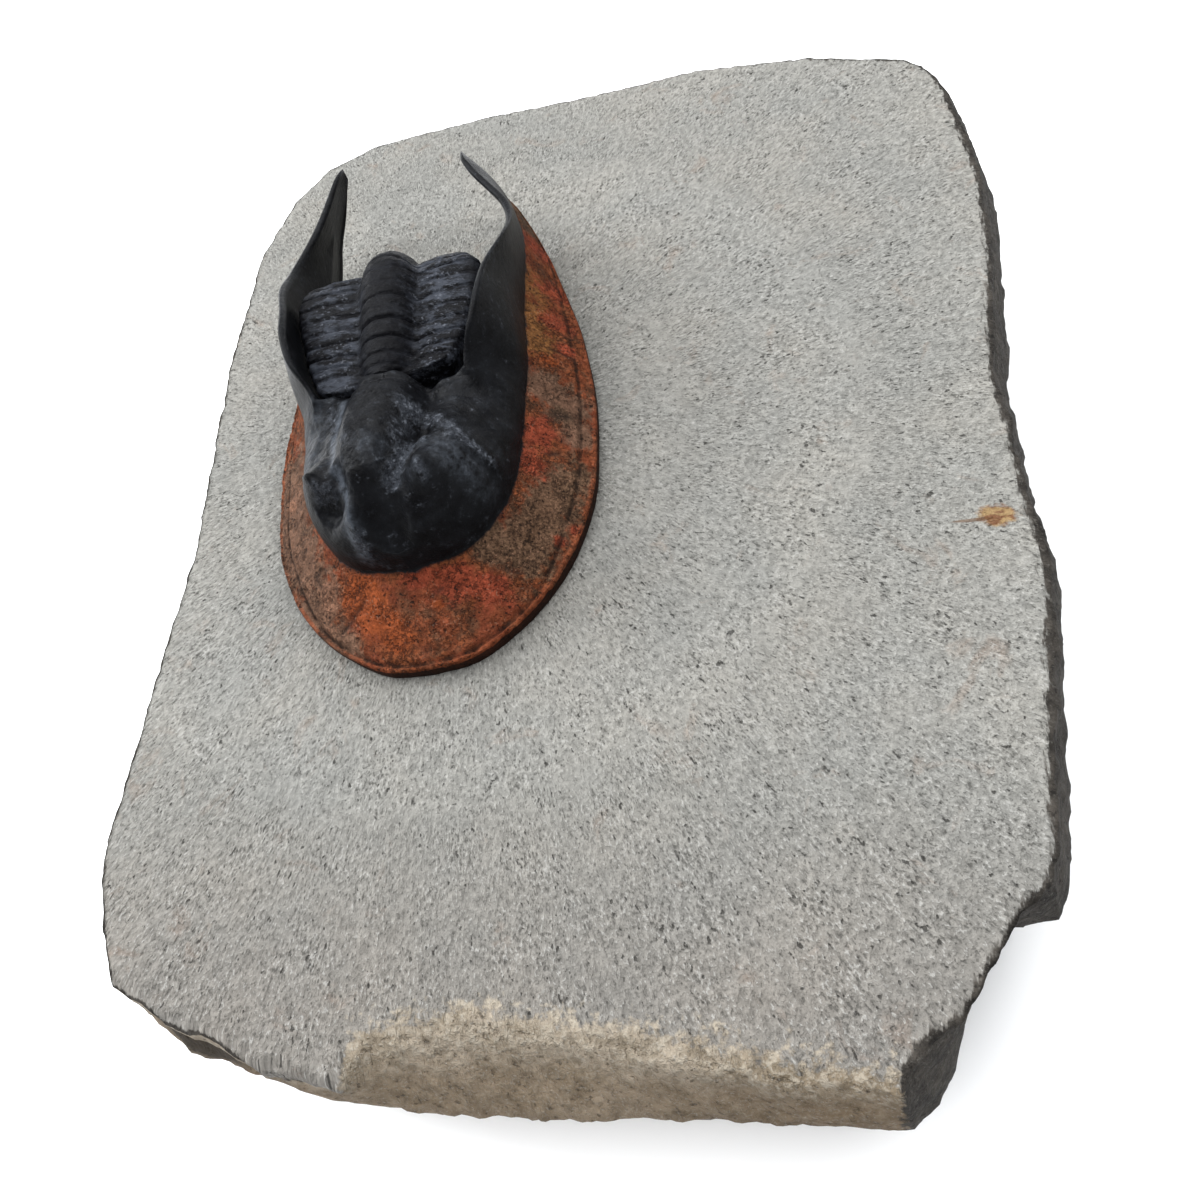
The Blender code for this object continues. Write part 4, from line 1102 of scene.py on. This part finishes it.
def head_calcite():
    """The head: black satin calcite over the dome, with a worn red and orange brim."""
    m = Shader("cephalon_calcite_stained", Metallic=0.0, Specular_IOR_Level=0.055)
    ragged = m.swing(m.noise(1.2, 4.0, 0.65), 1.3)
    black = m.span(m.add(m.painted("inside_foot"), ragged), -0.15, 0.2)
    cloud = m.noise(3.4, 4.0, 0.6)
    blot = m.noise(1.3, 5.0, 0.68)
    scuff = m.noise(0.7, 4.0, 0.72)
    fleck = m.noise(0.5, 3.0, 0.6)
    fine = m.noise(0.26, 3.0, 0.65)
    crease = m.span(m.math("ABSOLUTE", m.swing(m.noise(0.9, 4.0, 0.7))), 0.045, 0.012)
    crease = m.times(crease, m.span(cloud, 0.42, 0.56, 0.1, 0.7))
    pits = m.span(m.add(m.noise(0.34, 3.0, 0.6), m.swing(blot, 0.3)), 0.385, 0.335)
    specks = m.math("MAXIMUM", m.math("MAXIMUM", pits, crease), m.painted("dark"))
    colour = m.mix(black, brim_rock(m, cloud, blot, fine, specks), dome_satin(m, scuff))
    roughness = m.span(m.add(black, m.swing(fleck, 0.5)), 0.0, 1.0, 0.66, 0.36)
    relief = m.times(m.add(blot, m.times(fine, 0.6)), m.minus(1.0, m.times(black, 0.72)))
    relief = m.minus(relief, m.times(m.times(specks, 0.35), m.minus(1.0, black)))
    scuffed = m.times(m.times(scuff, black), m.span(m.painted("scuff_highlight"), 0.0, 0.6, 0.2, 1.5))
    return m.finish(colour, roughness, m.add(relief, scuffed), 0.32)


def body_calcite(name):
    """Thorax and tail: black calcite, with a painted bluish sheen along the rings and painted glints."""
    m = Shader(name, Metallic=0.0, Specular_IOR_Level=0.06)
    strength = m.painted("sheen")
    # painted bluish sheen, strongest where the rings catch the light
    sheen = m.span(m.noise(1.5, 5.0, 0.74, stretch=(1.8, 0.7, 1.0)), 0.46, 0.62)
    colour = m.mix(m.times(sheen, strength, clamp=True), (0.0035, 0.0035, 0.0045), (0.034, 0.038, 0.048))
    grain = m.noise(0.3, 4.0, 0.65)
    wrinkle = m.noise(0.6, 5.0, 0.72, stretch=(1.5, 0.8, 1.0))
    # painted glints on the rings
    painted_spark = m.times(m.span(grain, 0.54, 0.64), m.span(wrinkle, 0.48, 0.56))
    colour = m.mix(m.times(painted_spark, m.span(strength, 0.2, 0.9, 0.0, 0.8)), colour, (0.10, 0.107, 0.125))
    relief = m.add(m.times(grain, 0.4), m.times(wrinkle, 1.4))
    return m.finish(colour, m.span(grain, 0.3, 0.7, 0.32, 0.5), relief, 0.14)


# ---- the pieces ----
slab_mesh = make_slab()
place("matrix_slab_stone", slab_mesh, "matrix_slab", limestone())

head_mesh = make_head()
local = read(head_mesh)
stained_brim(head_mesh, local)
# dust over the head, thinned on the prolongations as painted shade
paint(head_mesh, "dust_and_shade", 1 - 0.7 * ease(local[:, 1], 25.0, 28.0))
for layer, values in zip(("wear_and_highlight", "scuff_highlight"), head_relief_and_highlights(local)):
    paint(head_mesh, layer, values)
write(head_mesh, to_world(local))
place("cephalon_shield", head_mesh, "cephalon", head_calcite())

thorax_mesh = ringed_body("thorax_rings", SPINE, JOINTS, BODY_STEPS)
local = read(thorax_mesh)
paint(thorax_mesh, "sheen", thorax_sheen(local))
worn_body(local)
write(thorax_mesh, to_world(local))
place("thorax_rings", thorax_mesh, "thorax", body_calcite("thorax_calcite_satin"))

tail_mesh = ringed_body("pygidium_shield", TAIL_SPINE, TAIL_JOINTS, TAIL_STEPS)
paint(tail_mesh, "sheen", np.full(len(tail_mesh.vertices), TAIL_SHEEN))
write(tail_mesh, to_world(read(tail_mesh)))
place("pygidium_shield", tail_mesh, "pygidium", body_calcite("pygidium_calcite_satin"))

# ---- floor and light ----
bpy.ops.mesh.primitive_plane_add(size=6.0, location=(0, 0, -0.0002))
floor = bpy.context.object
floor.name = "floor"
pale = bpy.data.materials.new("pale_floor")
pale.use_nodes = True
pale_shader = pale.node_tree.nodes["Principled BSDF"]
pale_shader.inputs["Base Color"].default_value = (0.97, 0.97, 0.97, 1)
pale_shader.inputs["Roughness"].default_value = 0.9
floor.data.materials.append(pale)

world = bpy.data.worlds.new("studio")
bpy.context.scene.world = world
world.use_nodes = True
background = world.node_tree.nodes["Background"]
background.inputs["Color"].default_value = (0.93, 0.96, 1.0, 1)
background.inputs["Strength"].default_value = 0.35


LIGHTS_AIM = (0, 0, 0.02)


def soft_light(name, position, size, energy, colour):
    """A square area light that faces the slab."""
    data = bpy.data.lights.new(name, "AREA")
    data.size, data.energy, data.color = size, energy, colour
    made = bpy.data.objects.new(name, data)
    bpy.context.scene.collection.objects.link(made)
    made.location = position
    made.rotation_euler = (Vector(position) - Vector(LIGHTS_AIM)).to_track_quat("Z", "Y").to_euler()


soft_light("sky", (-0.08, 0.20, 0.75), 1.5, 25.0, (0.98, 0.99, 1.0))
soft_light("key", (-0.50, 0.16, 0.34), 0.22, 2.6, (0.94, 0.97, 1.0))

bpy.context.scene.view_settings.view_transform = "Standard"
